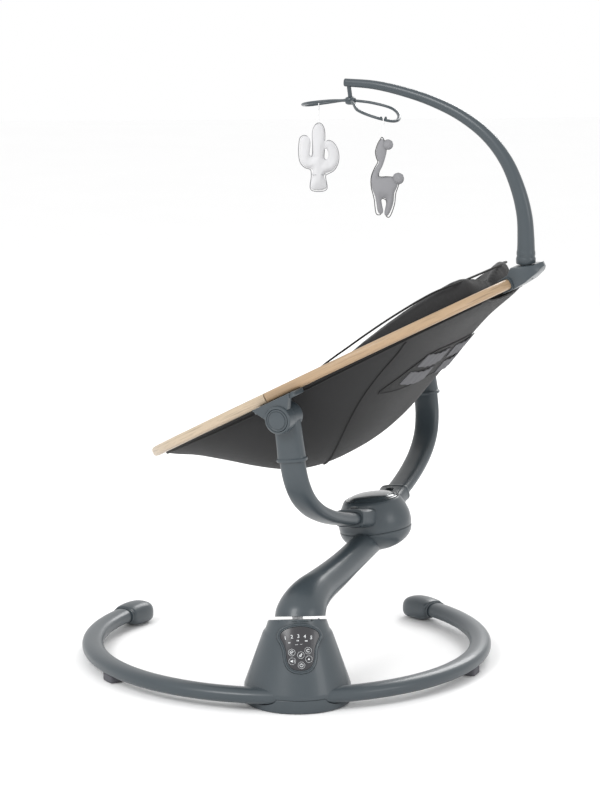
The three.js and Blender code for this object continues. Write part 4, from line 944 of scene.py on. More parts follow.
class SWING_OT_control_panel(SwingOperator):
    """The glossy control panel with its frame, numbers and touch signs"""
    bl_idname = "swing.control_panel"
    bl_label = "Control panel"

    def build(self, context):
        route = panel_route()
        rim = self.base.bezel_width / MM
        outline = [tuple(route.at(k / 96) * 0.985)[:2] for k in range(96)]
        glass = prism(outline, -3.6, 0.7, 0.5)
        bmesh.ops.bisect_plane(glass, geom=list(glass.verts) + list(glass.edges) + list(glass.faces),
                               plane_co=(0, 0, 0), plane_no=(1, 0, 0))
        for x in (-21, -14, -7, 7, 14, 21):
            bmesh.ops.bisect_plane(glass, geom=list(glass.verts) + list(glass.edges) + list(glass.faces),
                                   plane_co=(x, 0, 0), plane_no=(1, 0, 0))
        piece(follow_front(glass), BASE, "panel_glass", "base", "panel_gloss",
              ["control_panel"], 25)
        profile = [(-0.2, -8), (-0.2, 0.5), (0.2, 1.1), (0.8, 1.15), (1.2, 0.6), (1.7, 0.25),
                   (2.2, 0.6),
                   (2.7, 1.05), (3.3, 1.0), (rim - 0.3, 0.3), (rim, -1), (rim, -8)]
        frame_bm = surface(band(route, profile), 170, len(profile))
        piece(into(frame_bm, PANEL_FRAME), BASE, "panel_frame", "base", "slate",
              ["panel_bezel"], 60)
        self.numbers()
        self.signs()

    def numbers(self):
        size = self.base.digit_height / MM
        for k in range(5):
            curve = bpy.data.curves.new("digit", "FONT")
            curve.body = str(k + 1)
            curve.size = size * 1.35
            curve.align_x = "CENTER"
            curve.align_y = "CENTER"
            curve.extrude = 0.06
            text = bpy.data.objects.new("digit", curve)
            bpy.context.scene.collection.objects.link(text)
            settled = bpy.data.meshes.new_from_object(text)
            bpy.data.objects.remove(text)
            bm = bmesh.new()
            bm.from_mesh(settled)
            lean = (2 - k) * 5
            x, y = (k - 2) * 9.4 - 2.4, 19.6 - 0.55 * (k - 2) ** 2
            into(bm, at_mm(x, y, 0.78) @ Matrix.Rotation(rad(lean), 4, "Z"))
            piece(follow_front(bm), BASE, f"panel_digit_{k + 1}", "base", "print_ink")

    def ring(self, x, y, radius, thick, start=0.0, end=1.0):
        closed = end - start >= 1.0
        count = 40
        low, high = radius - thick / 2, radius + thick / 2
        shape = bmesh.new()
        turns = [2 * math.pi * (start + (end - start) * k / count)
                 for k in range(count + (0 if closed else 1))]
        inner = [shape.verts.new((x + low * math.cos(a), y + low * math.sin(a), INK_Z))
                 for a in turns]
        outer = [shape.verts.new((x + high * math.cos(a), y + high * math.sin(a), INK_Z))
                 for a in turns]
        rows = list(range(len(turns) - (0 if closed else 1)))
        faces = [shape.faces.new((inner[i], outer[i], outer[(i + 1) % len(turns)],
                                  inner[(i + 1) % len(turns)]))
                 for i in rows]
        raised = bmesh.ops.extrude_face_region(shape, geom=faces)["geom"]
        bmesh.ops.translate(shape, verts=[g for g in raised if isinstance(g, bmesh.types.BMVert)],
                            vec=(0, 0, 0.1))
        bmesh.ops.recalc_face_normals(shape, faces=shape.faces)
        return shape

    def mark(self, outline):
        return prism(outline, INK_Z, INK_TOP)

    def signs(self):
        """Timer marks, and touch keys with plain signs: note, waves, turn, volume, on and play."""
        ink = []
        for k, (x, y) in enumerate(((-15.2, 10.6), (-3.4, 13.4), (8.6, 12.8))):
            ink.append(self.mark([(x - 1.4, y - 0.9), (x - 0.4, y - 0.9), (x - 0.4, y + 0.9),
                                  (x - 1.4, y + 0.9)]))
            ink.append(self.mark([(x + 0.4, y - 0.9), (x + 0.9 + k * 0.6, y - 0.9),
                                  (x + 0.9 + k * 0.6, y + 0.9),
                                  (x + 0.4, y + 0.9)]))
        ink.append(self.mark([(-7.4, 7.2), (3.2, 7.9), (3.2, 8.3), (-7.4, 7.6)]))
        keys = ((-12.4, -3.6), (0.6, -7.6), (11.4, -1.2), (-12.0, -16.2), (12.2, -13.6),
                (1.2, -22.4))
        for x, y in keys:
            ink.append(self.ring(x, y, 4.9, 0.28))
        (ax, ay), (bx, by), (cx, cy), (dx, dy), (ex, ey), (gx, gy) = keys
        ink.append(self.ring(ax, ay, 2.4, 0.6, 0.05, 0.8))
        ink.append(self.mark([(ax - 1.2, ay - 0.5), (ax + 1.6, ay - 0.5), (ax + 1.6, ay + 0.3),
                              (ax - 1.2, ay + 0.3)]))
        ink.append(self.ring(bx - 0.6, by - 1.0, 1.2, 0.8))
        ink.append(self.mark([(bx + 0.3, by - 1), (bx + 0.9, by - 1), (bx + 0.9, by + 2.2),
                              (bx + 0.3, by + 2.2)]))
        ink.append(self.mark([(bx + 0.9, by + 1.2), (bx + 2.3, by + 0.7), (bx + 2.3, by + 1.5),
                              (bx + 0.9, by + 2.2)]))
        ink.append(self.ring(cx, cy, 2.1, 0.7, 0.1, 0.9))
        ink.append(self.mark([(dx - 2.4, dy - 0.8), (dx - 1.2, dy - 0.8), (dx + 0.6, dy - 2.2),
                              (dx + 0.6, dy + 2.2),
                              (dx - 1.2, dy + 0.8), (dx - 2.4, dy + 0.8)]))
        ink.append(self.ring(dx + 0.6, dy, 2.4, 0.5, -0.13, 0.13))
        ink.append(self.mark([(ex - 1.6, ey - 1.2), (ex + 1.6, ey - 1.2), (ex, ey + 1.8)]))
        ink.append(self.ring(gx, gy, 2.3, 0.6, 0.33, 1.17))
        ink.append(self.mark([(gx - 0.3, gy + 0.4), (gx + 0.3, gy + 0.4), (gx + 0.3, gy + 2.9),
                              (gx - 0.3, gy + 2.9)]))
        joined = bmesh.new()
        for bm in ink:
            mesh = bpy.data.meshes.new("sign")
            bm.to_mesh(mesh)
            bm.free()
            joined.from_mesh(mesh)
            bpy.data.meshes.remove(mesh)
        piece(follow_front(joined), BASE, "panel_signs", "base", "print_ink")


# ---- arm and hub --------------------------------------------------------------------------------
def stations(rows):
    """Smooth functions of u through equally spaced rows of values."""
    last = len(rows) - 1
    return [smooth([(k / last, row[j]) for k, row in enumerate(rows)]) for j in range(len(rows[0]))]


BOWL_ARCS = [(math.cos(rad(a)), math.sin(rad(a))) for a in (0, 8, 16, 25, 34, 44, 54, 64, 74, 82)]


def bowl(grow):
    return ([((HUB_R + grow) * c, HUB_RISE - (BOWL_DEPTH + grow) * s) for c, s in BOWL_ARCS]
            + [(0, HUB_RISE - BOWL_DEPTH - grow)])


class SWING_OT_swing_arm(SwingOperator):
    """The tapered arm and the bowl that it carries"""
    bl_idname = "swing.swing_arm"
    bl_label = "Swing arm"

    def build(self, context):
        start_y = 9
        start_z = (4.5 - start_y * SWING_AXIS.y) / SWING_AXIS.z
        y_at, z_at, r_at, lean_at = stations([
            (start_y, start_z, 37.3, LEAN), (16, start_z + 9, 36.5, 24),
                                              (31, start_z + 17, 33.3, 45),
            (55, start_z + 22.5, 29.5, 68), (85, start_z + 26, 26, 80),
                                              (138, start_z + 31, 23.4, 83),
            (193, start_z + 38, 21.6, 82), (REACH - 4, start_z + 52, 21, 81)])

        def at(u, v):
            lean, radius = rad(lean_at(u)), r_at(u)
            a, b = oval(v, 2 * radius, 2 * radius, 2.0)
            return Vector((a, y_at(u) + b * math.cos(lean), z_at(u) - b * math.sin(lean)))

        arm = surface(at, 110, 56, fill_ends=True)
        mouth = [e for e in arm.edges if len(e.link_faces) == 2
                 and any(len(f.verts) > 20 for f in e.link_faces)
                 and e.verts[0].co.y < 80]
        bmesh.ops.bevel(arm, geom=mouth, offset=1.3, offset_type="OFFSET", segments=3, profile=0.5,
                        affect="EDGES", material=-1, clamp_overlap=True)
        shape = body_shape(arm, ARM)
        room = into(lathe([(0, HUB_RISE + 60), (HUB_R + 0.3, HUB_RISE + 60), *bowl(0.3)], 72),
                    at_mm(0, REACH, 0))
        pocket = into(lathe([(0, -10), (8.3, -10), (8.3, 20), (0, 20)], 36),
                      Matrix.Rotation(-rad(LEAN), 4, "X"))
        combine(shape, [body_shape(room, ARM), body_shape(pocket, ARM)], "DIFFERENCE")
        show(shape, "arm_tube", "arm", "slate", ["swing_arm"], 40)
        inner = [(r, z) for r, z in reversed(bowl(-WALL))]
        profile = [(HUB_R - 0.8, HUB_RISE), *bowl(0)[1:], *inner[:-1], (HUB_R - WALL, HUB_RISE)]
        profile.insert(1, (HUB_R, HUB_RISE - 1.2))
        piece(into(lathe(profile, 96), at_mm(0, REACH, 0)), ARM, "hub_bowl", "arm", "slate",
              ["hub_lower_bowl"], 40)


SHELL_SIDE = smooth([(0.6, HUB_R - 0.6), (1.8, HUB_R), (9, HUB_R + 0.6), (20, HUB_R - 0.8),
                     (31, HUB_R - 4.5),
                     (40, HUB_R - 9), (45.5, BUTTON_R + 3.4), (SHELL_H, BUTTON_R + 1.6)])
YOKE_POINTS = [(62, 29.5), (98, 37.5), (130, 46.5), (163, 58.5), (199, 77), (226, 101), (240, 129),
               (YOKE_HALF, COLLAR_Z - 2), (YOKE_HALF, COLLAR_Z + 22)]


def yoke_tube(side, width, depth, grow=0.0, rows=90):
    route = Route([(0, side * u, z) for u, z in YOKE_POINTS])
    return sweep(route.at, lambda u: X_AXIS,
                 lambda u, v: oval(v, width + 2 * grow, depth + 2 * grow, 2.5), rows, 40)


class SWING_OT_hub(SwingOperator):
    """The turntable hub with its sockets, release disc and socket buttons"""
    bl_idname = "swing.hub"
    bl_label = "Turntable hub"

    def build(self, context):
        width, depth = self.base.yoke_width / MM, self.base.yoke_depth / MM
        levels = [0.6, 1.2, 1.8, 5, 9, 13, 17, 20, 24, 28, 31, 34, 37, 40, 43, 45.5, SHELL_H]
        outer = [(SHELL_SIDE(z), z) for z in levels]
        inner = [(SHELL_SIDE(z) - WALL, z) for z in reversed(levels[:-2])]
        shell = body_shape(lathe([*outer, (BUTTON_R + 0.5, SHELL_H - 0.3), (BUTTON_R + 0.5, 43.2),
                                  *inner],
                                 112, ring=True), CARRIER)
        sockets, bores = [], []
        for _, side in SIDES:
            turn = Matrix.Rotation(0 if side > 0 else math.pi, 4, "Z")
            sleeve = surface(lambda u, v: self.sleeve(u, v), 40, 44, fill_ends=True)
            sockets.append(body_shape(into(sleeve, turn), CARRIER))
            bores.append(body_shape(yoke_tube(side, width, depth, 0.5), CARRIER))
            well = rounded_box(13.4, 9, 8.4, 18, 4.0, 0.3)
            bores.append(body_shape(into(well, turn @ at_mm(0, 66, 33)), CARRIER))
        combine(shell, sockets, "UNION")
        core = body_shape(lathe([(0, -1), (HUB_R - 3.4, -1), (HUB_R - 3.4, 22),
                                 (BUTTON_R + 0.5, 38),
                                 (BUTTON_R + 0.5, 70), (0, 70)], 96), CARRIER)
        combine(shell, [*bores, core], "DIFFERENCE")
        show(shell, "hub_shell", "carrier", "slate", ["hub_upper_shell"], 30)
        disc = lathe([(0, SHELL_H - 7), (BUTTON_R - 2, SHELL_H - 7), (BUTTON_R - 0.2, SHELL_H - 5),
                      (BUTTON_R - 0.2, SHELL_H + 0.4), (BUTTON_R - 1.2, SHELL_H + 1.5),
                      (BUTTON_R - 3.2, SHELL_H + 2.1),
                      (BUTTON_R - 3.9, SHELL_H + 1.2), (BUTTON_R - 4.6, SHELL_H + 2.4),
                      (30, SHELL_H + 5.2),
                      (25, SHELL_H + 6.3), (20, SHELL_H + 7.1), (14, SHELL_H + 7.7),
                      (7, SHELL_H + 8.1),
                      (0, SHELL_H + 8.25)], 96)
        piece(disc, CARRIER, "release_disc", "hub_button", "disc_gloss",
              ["hub_button"], 42)
        for name, side in SIDES:
            key = into(rounded_box(11, 7, 8.8, 15.4, 3.4, 1.2), at_mm(0, side * 66, 33))
            piece(key, CARRIER, f"socket_key_{name}", f"tube_button_{name}", "socket_button",
                  [f"tube_button_{name}"])

    def sleeve(self, u, v):
        """The socket swells out of the hub and ends in a lipped mouth round the yoke tube."""
        grow = smooth([(0, 6), (0.3, 3), (0.6, 0.6), (0.86, 0), (0.9, 0.9), (0.97, 0.9), (1, 0)])(u)
        a, b = oval(v, 48 + grow, 27 + grow, 3.6)
        y = 40 + 46 * u
        z = 25 + math.tan(rad(13)) * 46 * u
        return Vector((a, y - b * math.sin(rad(13)), z + b * math.cos(rad(13))))


class SWING_OT_yoke(SwingOperator):
    """Both flat tubes of the yoke and the pivot heads on them"""
    bl_idname = "swing.yoke"
    bl_label = "Yoke"

    def build(self, context):
        width, depth = self.base.yoke_width / MM, self.base.yoke_depth / MM
        boss_depth = SPLIT_U - 0.6 - HEAD_INNER_U
        middle = HEAD_INNER_U + boss_depth / 2
        rows = [(COLLAR_Z, 45, 26, YOKE_HALF), (COLLAR_Z + 0.8, 46.4, 27.4, YOKE_HALF),
                (COLLAR_Z + 4.4, 46.4, 27.4, YOKE_HALF), (COLLAR_Z + 5.4, 43.6, 24.8, YOKE_HALF),
                (COLLAR_Z + 14, 42.4, 24.6, YOKE_HALF), (PIVOT_Z - 36, 41.4, 24.4, YOKE_HALF - 0.5),
                (PIVOT_Z - 22, 41, 24.5, YOKE_HALF - 1), (PIVOT_Z - 12, 39.6, 26, middle + 0.6),
                (PIVOT_Z - 4, 38, boss_depth, middle)]
        first, last = rows[0][0], rows[-1][0]
        places = [tuple([(row[0] - first) / (last - first)] + list(row[1:])) for row in rows]
        wide, deep, out = (smooth([(row[0], row[j]) for row in places]) for j in (1, 2, 3))
        for name, side in SIDES:
            piece(yoke_tube(side, width, depth), CARRIER, f"yoke_{name}", "carrier", "slate",
                  [f"yoke_tube_{name}"])

            def neck(u, v):
                a, b = oval(v, wide(u), deep(u), 2.8)
                return Vector((a, side * (out(u) + b), first + (last - first) * u))

            head = body_shape(surface(neck, 90, 40, fill_ends=True), CARRIER)
            half = boss_depth / 2
            boss = into(lathe([(0, -half), (PIVOT_R - 1.2, -half), (PIVOT_R, -half + 1.2),
                               (PIVOT_R, half - 1.2),
                               (PIVOT_R - 1.2, half), (0, half)], 64),
                        at_mm(0, side * middle, PIVOT_Z) @ Matrix.Rotation(math.pi / 2, 4, "X"))
            combine(head, [body_shape(boss, CARRIER)], "UNION")
            bore = into(lathe([(0, -40), (5.6, -40), (5.6, 40), (0, 40)], 32),
                        at_mm(0, side * middle, PIVOT_Z) @ Matrix.Rotation(math.pi / 2, 4, "X"))
            combine(head, [body_shape(yoke_tube(side, width, depth, 0.3), CARRIER),
                           body_shape(bore, CARRIER)],
                    "DIFFERENCE")
            show(head, f"pivot_{name}", "carrier", "slate", [f"pivot_head_{name}"],
                 34)


# ---- seat rim -----------------------------------------------------------------------------------
def rim_point(degrees, z=RIM_UP, grow=0.0):
    c, s = math.cos(rad(degrees)), math.sin(rad(degrees))
    x = (RIM_HEAD if c > 0 else RIM_FOOT) + grow
    return Vector((RIM_JOINT_X + x * power_round(c, RIM_POWER),
                   (RIM_HALF_W + grow) * power_round(s, RIM_POWER), z))


def rim_rail(start, end, grow=0.0, rows=170):
    def line(u):
        return rim_point(start + (end - start) * u)

    def across(u):
        ahead = rim_point(start + (end - start) * min(u + 0.003,
                                                      1)) - rim_point(start + (end - start) * max(u - 0.003, 0))
        return Vector((ahead.y, -ahead.x, 0))

    return sweep(line, across, lambda u, v: oval(v, RAIL_W + 2 * grow, RAIL_H + 2 * grow, 3.0),
                 rows, 36)


class SWING_OT_rim(SwingOperator):
    """The wooden rim, its pivot brackets, round covers and head bracket"""
    bl_idname = "swing.rim"
    bl_label = "Seat rim"

    def build(self, context):
        piece(rim_rail(-89.9, 89.9), SEAT, "rim_rail_head", "seat", "wood",
              ["rim_head"])
        # The foot half takes the lighter copy of the wood, which is painted light.
        piece(rim_rail(90.1, 269.9), SEAT, "rim_rail_foot", "seat", "pale_wood",
              ["rim_foot"])
        saddle_top = RIM_UP - RAIL_H / 2 - 0.3
        for name, side in SIDES:
            turn = Matrix.Rotation(0 if side < 0 else math.pi, 4, "Z")
            upright = turn @ at_mm(0, -SPLIT_U, 0) @ Matrix.Rotation(math.pi / 2, 4, "X")
            cheek_depth = FACE_U - 1 - SPLIT_U
            cheek = body_shape(into(lathe([(0, 0), (PIVOT_R + 0.2, 0), (PIVOT_R + 0.8, 0.6),
                                           (PIVOT_R + 0.8, cheek_depth - 1.6),
                                           (PIVOT_R - 0.6, cheek_depth),
                                           (0, cheek_depth)], 72), upright), SEAT)
            gusset = prism([(-34, saddle_top), (-29, saddle_top - 8), (-20, 8), (20, 8),
                            (29, saddle_top - 8),
                            (34, saddle_top)], 1, cheek_depth - 4, 1.2)
            saddle = into(rounded_box(76, FACE_U - 8 - 222, PIVOT_R + 1.2, saddle_top, 5.0, 1.6),
                          turn @ at_mm(0, -(FACE_U - 8 + 222) / 2, 0))
            combine(cheek, [body_shape(into(gusset, upright), SEAT), body_shape(saddle, SEAT)],
                    "UNION")
            well = into(lathe([(0, -1), (17.2, -1), (17.2, 30), (0, 30)], 64),
                        turn @ at_mm(0, -(FACE_U - 7), 0) @ Matrix.Rotation(math.pi / 2, 4, "X"))
            hole = into(lathe([(0, -20), (5.3, -20), (5.3, 12), (0, 12)], 32), upright)
            combine(cheek, [body_shape(well, SEAT), body_shape(hole, SEAT)], "DIFFERENCE")
            show(cheek, f"rim_pivot_{name}", "seat", "slate",
                 [f"rim_bracket_{name}"], 30)
            cover = lathe([(0, -5.5), (16.6, -5.5), (16.7, -1.2), (16.1, -0.2), (15.2, 0),
                           (14.4, -0.2),
                           (13.9, -0.9), (13.2, -0.9), (12.8, -0.1), (11.6, 0.25), (7, 0.7),
                           (0, 0.85)], 64)
            piece(into(cover, turn @ at_mm(0, -FACE_U, 0) @ Matrix.Rotation(math.pi / 2, 4, "X")),
                  SEAT,
                  f"recline_cover_{name}", f"recline_button_{name}", "slate",
                  [f"recline_button_{name}"], 42)
        self.head_bracket()

    def head_bracket(self):
        """A sleeve round the rail's head end that grows into a rounded tongue under the toy bar."""
        end = RIM_JOINT_X + RIM_HEAD
        plan = prism([(end - 12, -27), (end + 14, -27), (end + 32, -25), (end + 44, -20),
                      (end + 53, -11),
                      (end + 56, 0), (end + 53, 11), (end + 44, 20), (end + 32, 25), (end + 14, 27),
                      (end - 12, 27), (end - 12, 0)], 0, 60)
        side = prism([(end - 12, RIM_UP - 10), (end + 4, RIM_UP - 11), (end + 26, RIM_UP - 9),
                      (end + 48, RIM_UP - 3), (end + 57, RIM_UP + 3), (end + 59, RIM_UP + 7),
                      (end + 55, RIM_UP + 9),
                      (BAR_X + 16, BAR_Z - 7), (BAR_X - 14, BAR_Z + 4), (end + 6, RIM_UP + 12),
                      (end - 12, RIM_UP + 10)], -60, 60)
        shape = body_shape(plan, SEAT)
        combine(shape, [body_shape(into(side, Matrix.Rotation(math.pi / 2, 4, "X")), SEAT)],
                "INTERSECT")
        soften(shape, 4.2, 4, 30)
        sleeve = rim_rail(-6, 6, 2.6, 40)
        combine(shape, [body_shape(sleeve, SEAT)], "UNION")
        socket = into(lathe([(0, -24), (8.6, -24), (8.6, 30), (0, 30)], 48),
                      at_mm(BAR_X, 0, BAR_Z) @ Matrix.Rotation(rad(TILT), 4, "Y"))
        combine(shape, [body_shape(rim_rail(-60, 60, 0.3, 90), SEAT), body_shape(socket, SEAT)],
                "DIFFERENCE")
        show(shape, "bar_bracket", "seat", "slate", ["head_bracket"], 34)


# ---- sling --------------------------------------------------------------------------------------
SLING_HEAD, SLING_FOOT = 290, RIM_JOINT_X - RIM_FOOT + RAIL_W / 2 + 2
EDGE_Z = RIM_UP - RAIL_H / 2 - 1
SLING_LOW = smooth([(-331, 27), (-311, 20), (-285, 9), (-250, -6), (-205, -34), (-160, -64),
                    (-120, -84),
                    (-75, -92), (-26, -88), (20, -76), (68, -56), (134, -27), (209, 3), (280, 20),
                    (312, 27)])


def inner_half(x):
    reach = (RIM_HEAD if x > RIM_JOINT_X else RIM_FOOT) - RAIL_W / 2
    share = min(1, abs(x - RIM_JOINT_X) / reach)
    return (RIM_HALF_W - RAIL_W / 2) * (1 - share ** RIM_POWER) ** (1 / RIM_POWER)


def sling_point(x, s, lift=0.0):
    """The sling's outer face: s runs from -1 on the near edge to 1 on the far edge."""
    low, lean = SLING_LOW(x), min(1, abs(s)) ** 3
    y = (inner_half(x) - 3) * s * (1 - 0.06 * (1 - s * s)) * (1 - lift / 900)
    z = low + (EDGE_Z - low) * abs(s) ** 3.2
    return Vector((x, y - math.copysign(1, s) * lift * lean * 0.95, z + lift * (1 - lean * 0.8)))


def on_cloth(route, radius, rows, lift, cols=10):
    """A round piping along a route of (x, s) points on the sling's outer face."""
    def line(u):
        x, s, _ = route.at(u)
        return sling_point(x, s, lift)

    return sweep(line, lambda u: Vector((0.3, 0.2, 1)), lambda u,
                 v: oval(v, 2 * radius, 2 * radius), rows, cols)


class SWING_OT_sling(SwingOperator):
    """The woven sling with its hems, piped seam, strap opening and webbing"""
    bl_idname = "swing.sling"
    bl_label = "Sling"

    def build(self, context):
        thick = self.seat.cloth_thickness / MM
        radius = self.seat.piping / MM

        def at(u, v):
            x, s = SLING_FOOT + (SLING_HEAD - SLING_FOOT) * u, 2 * v - 1
            ripple = 0.5 * math.sin(x / 17 + 3 * s) * (1 - abs(s)) * abs(s)
            return sling_point(x, s, 1.0 + ripple)

        cloth = surface(at, 150, 76)
        area = sum(face.calc_area() for face in cloth.faces) * MM * MM
        middle = length_of([at(k / 60, 0.5) for k in range(61)]) * MM
        widest = max(length_of([at(u / 20, k / 60) for k in range(61)]) for u in range(21)) * MM
        bmesh.ops.recalc_face_normals(cloth, faces=cloth.faces)
        shape = body_shape(cloth, SEAT)
        step = shape.modifiers.new("cloth", "SOLIDIFY")
        step.thickness = thick * MM
        step.offset = 0
        settle(shape)
        show(shape, "sling_sheet", "seat", "sling_cloth", ["sling"], 60)
        trims = []
        for name, side in SIDES:
            hem = Route([(SLING_FOOT + 6 + (SLING_HEAD - SLING_FOOT - 12) * k / 24, side * 0.985, 0)
                         for k in range(25)])
            trims.append(piece(on_cloth(hem, 2.4, 160, 0.6), SEAT, f"sling_hem_{name}", "seat",
                               "piping"))
        seam = [(190, 0.955), (168, 0.88), (124, 0.8), (72, 0.72), (20, 0.62), (-20, 0.51),
                (-52, 0.39),
                (-84, 0.24), (-98, 0.1)]
        route = Route([(x, -s, 0) for x, s in seam] + [(-101, 0, 0)] + [(x, s, 0) for x,
                                                                        s in reversed(seam)])
        trims.append(piece(on_cloth(route, radius, 150, -0.6), SEAT, "sling_piping", "seat",
                           "piping"))
        trims += self.opening()

    def opening(self):
        """A lipped opening across the back of the seat, with the harness straps in it; the opening is not cut, and a
        near-black sheet lies in it as painted shade.
        """
        reach = 0.64

        def low(s):
            return 94 + 24 * (1 - (s / reach) ** 2)

        def high(s):
            return 94 + 88 * (1 - abs(s / reach) ** 7)

        def patch(u, v):
            s = -reach + 2 * reach * v
            return sling_point(low(s) + (high(s) - low(s)) * u, s, -0.9)

        # The dark sheet is painted shade for the inside of the opening.
        dark = body_shape(surface(patch, 20, 70), SEAT)
        step = dark.modifiers.new("cloth", "SOLIDIFY")
        step.thickness = 0.8 * MM
        step.offset = 0
        made = [show(settle(dark), "sling_opening", "seat", "piping")]
        edge = ([(high(-reach + 2 * reach * k / 30), -reach + 2 * reach * k / 30, 0)
                 for k in range(31)]
                + [(low(reach - 2 * reach * k / 30), reach - 2 * reach * k / 30, 0)
                   for k in range(1, 30)])
        route = Route(edge, closed=True)

        def lip(u, v):
            x, s, _ = route.at(u % 1.0)
            tangent = (Vector(sling_point(*route.at((u + 0.002) % 1.0)[:2])) - Vector(sling_point(*route.at((u - 0.002) % 1.0)[:2])))
            tangent.normalize()
            side = tangent.cross(Z_AXIS).normalized()
            up = side.cross(tangent)
            a, b = oval(v % 1.0, 3.0, 2.4)
            return sling_point(x, s, -1.2) + side * a + up * b

        made.append(piece(surface(lip, 220, 8), SEAT, "sling_opening_lip", "seat", "sling_cloth"))
        for name, side in SIDES:
            for k, (x0, x1, s0, s1) in enumerate(((152, 176, 0.06, 0.5), (118, 142, 0.1, 0.52))):
                def strap(u, v):
                    s = side * (s0 + (s1 - s0) * v)
                    slack = 1.8 * math.sin(math.pi * v) + 0.5 * math.sin(9 * math.pi * v)
                    return sling_point(x0 + (x1 - x0) * u, s, -2.2 - slack)

                band_shape = body_shape(surface(strap, 10, 60), SEAT)
                step = band_shape.modifiers.new("webbing", "SOLIDIFY")
                step.thickness = 1.4 * MM
                step.offset = 0
                made.append(show(settle(band_shape), f"sling_strap_{name}_{k + 1}", "seat",
                                 "webbing"))
        return made


# ---- pads and harness ---------------------------------------------------------------------------
BOLSTER_TOP = smooth([(PAD_SPLIT, -20), (-20, 20), (30, 48), (110, 64), (200, 77), (262, 80),
                      (284, 70)])
INSERT_HALF = smooth([(PAD_SPLIT, 158), (0, 172), (100, 172), (200, 150), (250, 122), (284, 76)])
ROLL = 13                        # rounding of the bolsters' outer edge, on top of the piping


def sling_top(x, y):
    low, high = 0.0, 1.0
    for _ in range(14):
        s = (low + high) / 2
        if sling_point(x, s, 3).y < y:
            low = s
        else:
            high = s
    return sling_point(x, low, 3).z


def insert_point(x, s, upper, shrink=0.0):
    y = (INSERT_HALF(x) - shrink) * s
    floor = sling_top(x, abs(y)) + 3 + shrink * 0.5
    if not upper:
        return Vector((x, y, floor))
    hollow = SLING_LOW(x) + PAD_LOW + INSERT_T
    power = 2.6 - 2.1 * max(0.0, min(1.0, (x - 190) / 80)) ** 2
    rise = hollow + (BOLSTER_TOP(x) - hollow) * abs(s) ** power
    roll = max(0.0, (abs(s) - 0.86) / 0.14)
    rise -= ROLL * (1 - math.sqrt(1 - roll * roll))
    return Vector((x, y, max(floor + 4, rise - shrink)))


def between(low, high):
    """A closed shape between a lower and an upper face of (x share, s) points."""
    def at(u, v):
        turn = v % 1.0
        if turn < 0.5:
            return high(u, 4 * turn - 1)
        return low(u, 3 - 4 * turn)

    return at


def on_insert(x0, x1, y0, y1, width, lift, thick):
    """A flat strap that lies on the back insert."""
    heading = math.atan2(y1 - y0, x1 - x0)
    dx, dy = -math.sin(heading) * width / 2, math.cos(heading) * width / 2

    def level(u, k, up):
        x, y = x0 + (x1 - x0) * u + dx * k, y0 + (y1 - y0) * u + dy * k
        return Vector((x, y, insert_point(x, max(-1, min(1, y / INSERT_HALF(x))),
                                          True).z + lift + up))

    def at(u, v):
        turn = v % 1.0
        if turn < 0.5:
            return level(u, 4 * turn - 1, thick)
        return level(u, 3 - 4 * turn, 0)

    return at


class SWING_OT_pads(SwingOperator):
    """The leg pad, the back insert and the head cushion, filled, sewn and piped"""
    bl_idname = "swing.pads"
    bl_label = "Pads"

    def build(self, context):
        radius = self.seat.piping / MM
        leg = body_shape(surface(between(lambda u, s: self.leg(u, s, 0), lambda u,
                                         s: self.leg(u, s, 1)),
                                 90, 110, fill_ends=True), SEAT)
        show(stuffed(leg, 4.5, 4), "leg_cushion", "seat", "pad_jersey", ["leg_pad"],
             80)
        back = body_shape(surface(between(lambda u, s: self.back(u, s, False), lambda u,
                                          s: self.back(u, s, True)),
                                  90, 120, fill_ends=True), SEAT)
        show(stuffed(back, 3.6, 4), "back_cushion", "seat", "pad_jersey",
             ["back_insert"], 80)
        head = body_shape(surface(on_insert_rounded(172, 258, 138, 1.5, 11), 60, 80,
                                  fill_ends=True), SEAT)
        show(stuffed(head, 4, 4), "head_pillow", "seat", "pad_jersey",
             ["head_cushion"], 80)
        crest = Route([insert_point(x, s, True) + Vector((0, math.copysign(3.0, s), 0.6))
                       for x, s in self.crest()])
        piece(sweep(crest.at, lambda u: Vector((0.3, 0.2, 1)), lambda u,
                    v: oval(v, 2 * radius, 2 * radius), 260, 10),
              SEAT, "back_cushion_piping", "seat", "piping")

    def crest(self):
        sides = [PAD_SPLIT + 6 + (262 - PAD_SPLIT) * k / 16 for k in range(17)]
        return ([(x, -0.995) for x in sides] + [(x, 0.995) for x in reversed(sides)])

    def leg(self, u, s, upper):
        x0, x1 = SLING_FOOT + 38, PAD_SPLIT - 7
        x = x0 + (x1 - x0) * u
        ends = min(1.0, min(u, 1 - u) / 0.07) ** 0.6
        quilt = 1.6 * abs(math.cos(math.pi * 5 * u)) ** 6 if 0.06 < u < 0.94 else 0.0
        high = PAD_LOW + 2.5 + (6.0 - quilt) * (1 - s ** 4) * ends
        low = PAD_LOW + 1.2
        return sling_point(x, s * 0.785, high if upper else low)

    def back(self, u, s, upper):
        x = PAD_SPLIT + 4 + (279 - PAD_SPLIT - 4) * u
        return insert_point(x, s, upper, 1.0)


def on_insert_rounded(x0, x1, width, lift, thick):
    """A pillow on the back insert with rounded ends."""
    def at(u, v):
        turn = v % 1.0
        k = 4 * turn - 1 if turn < 0.5 else 3 - 4 * turn
        full = round_end(u, 0.3) * 0.25 + 0.75
        x = x0 + (x1 - x0) * u
        y = width / 2 * k * full
        crown = thick * (1 - k ** 4) ** 0.5 * round_end(u, 0.35) if turn < 0.5 else 0.5
        return Vector((x, y, insert_point(x, y / INSERT_HALF(x), True).z + lift + crown))

    return at


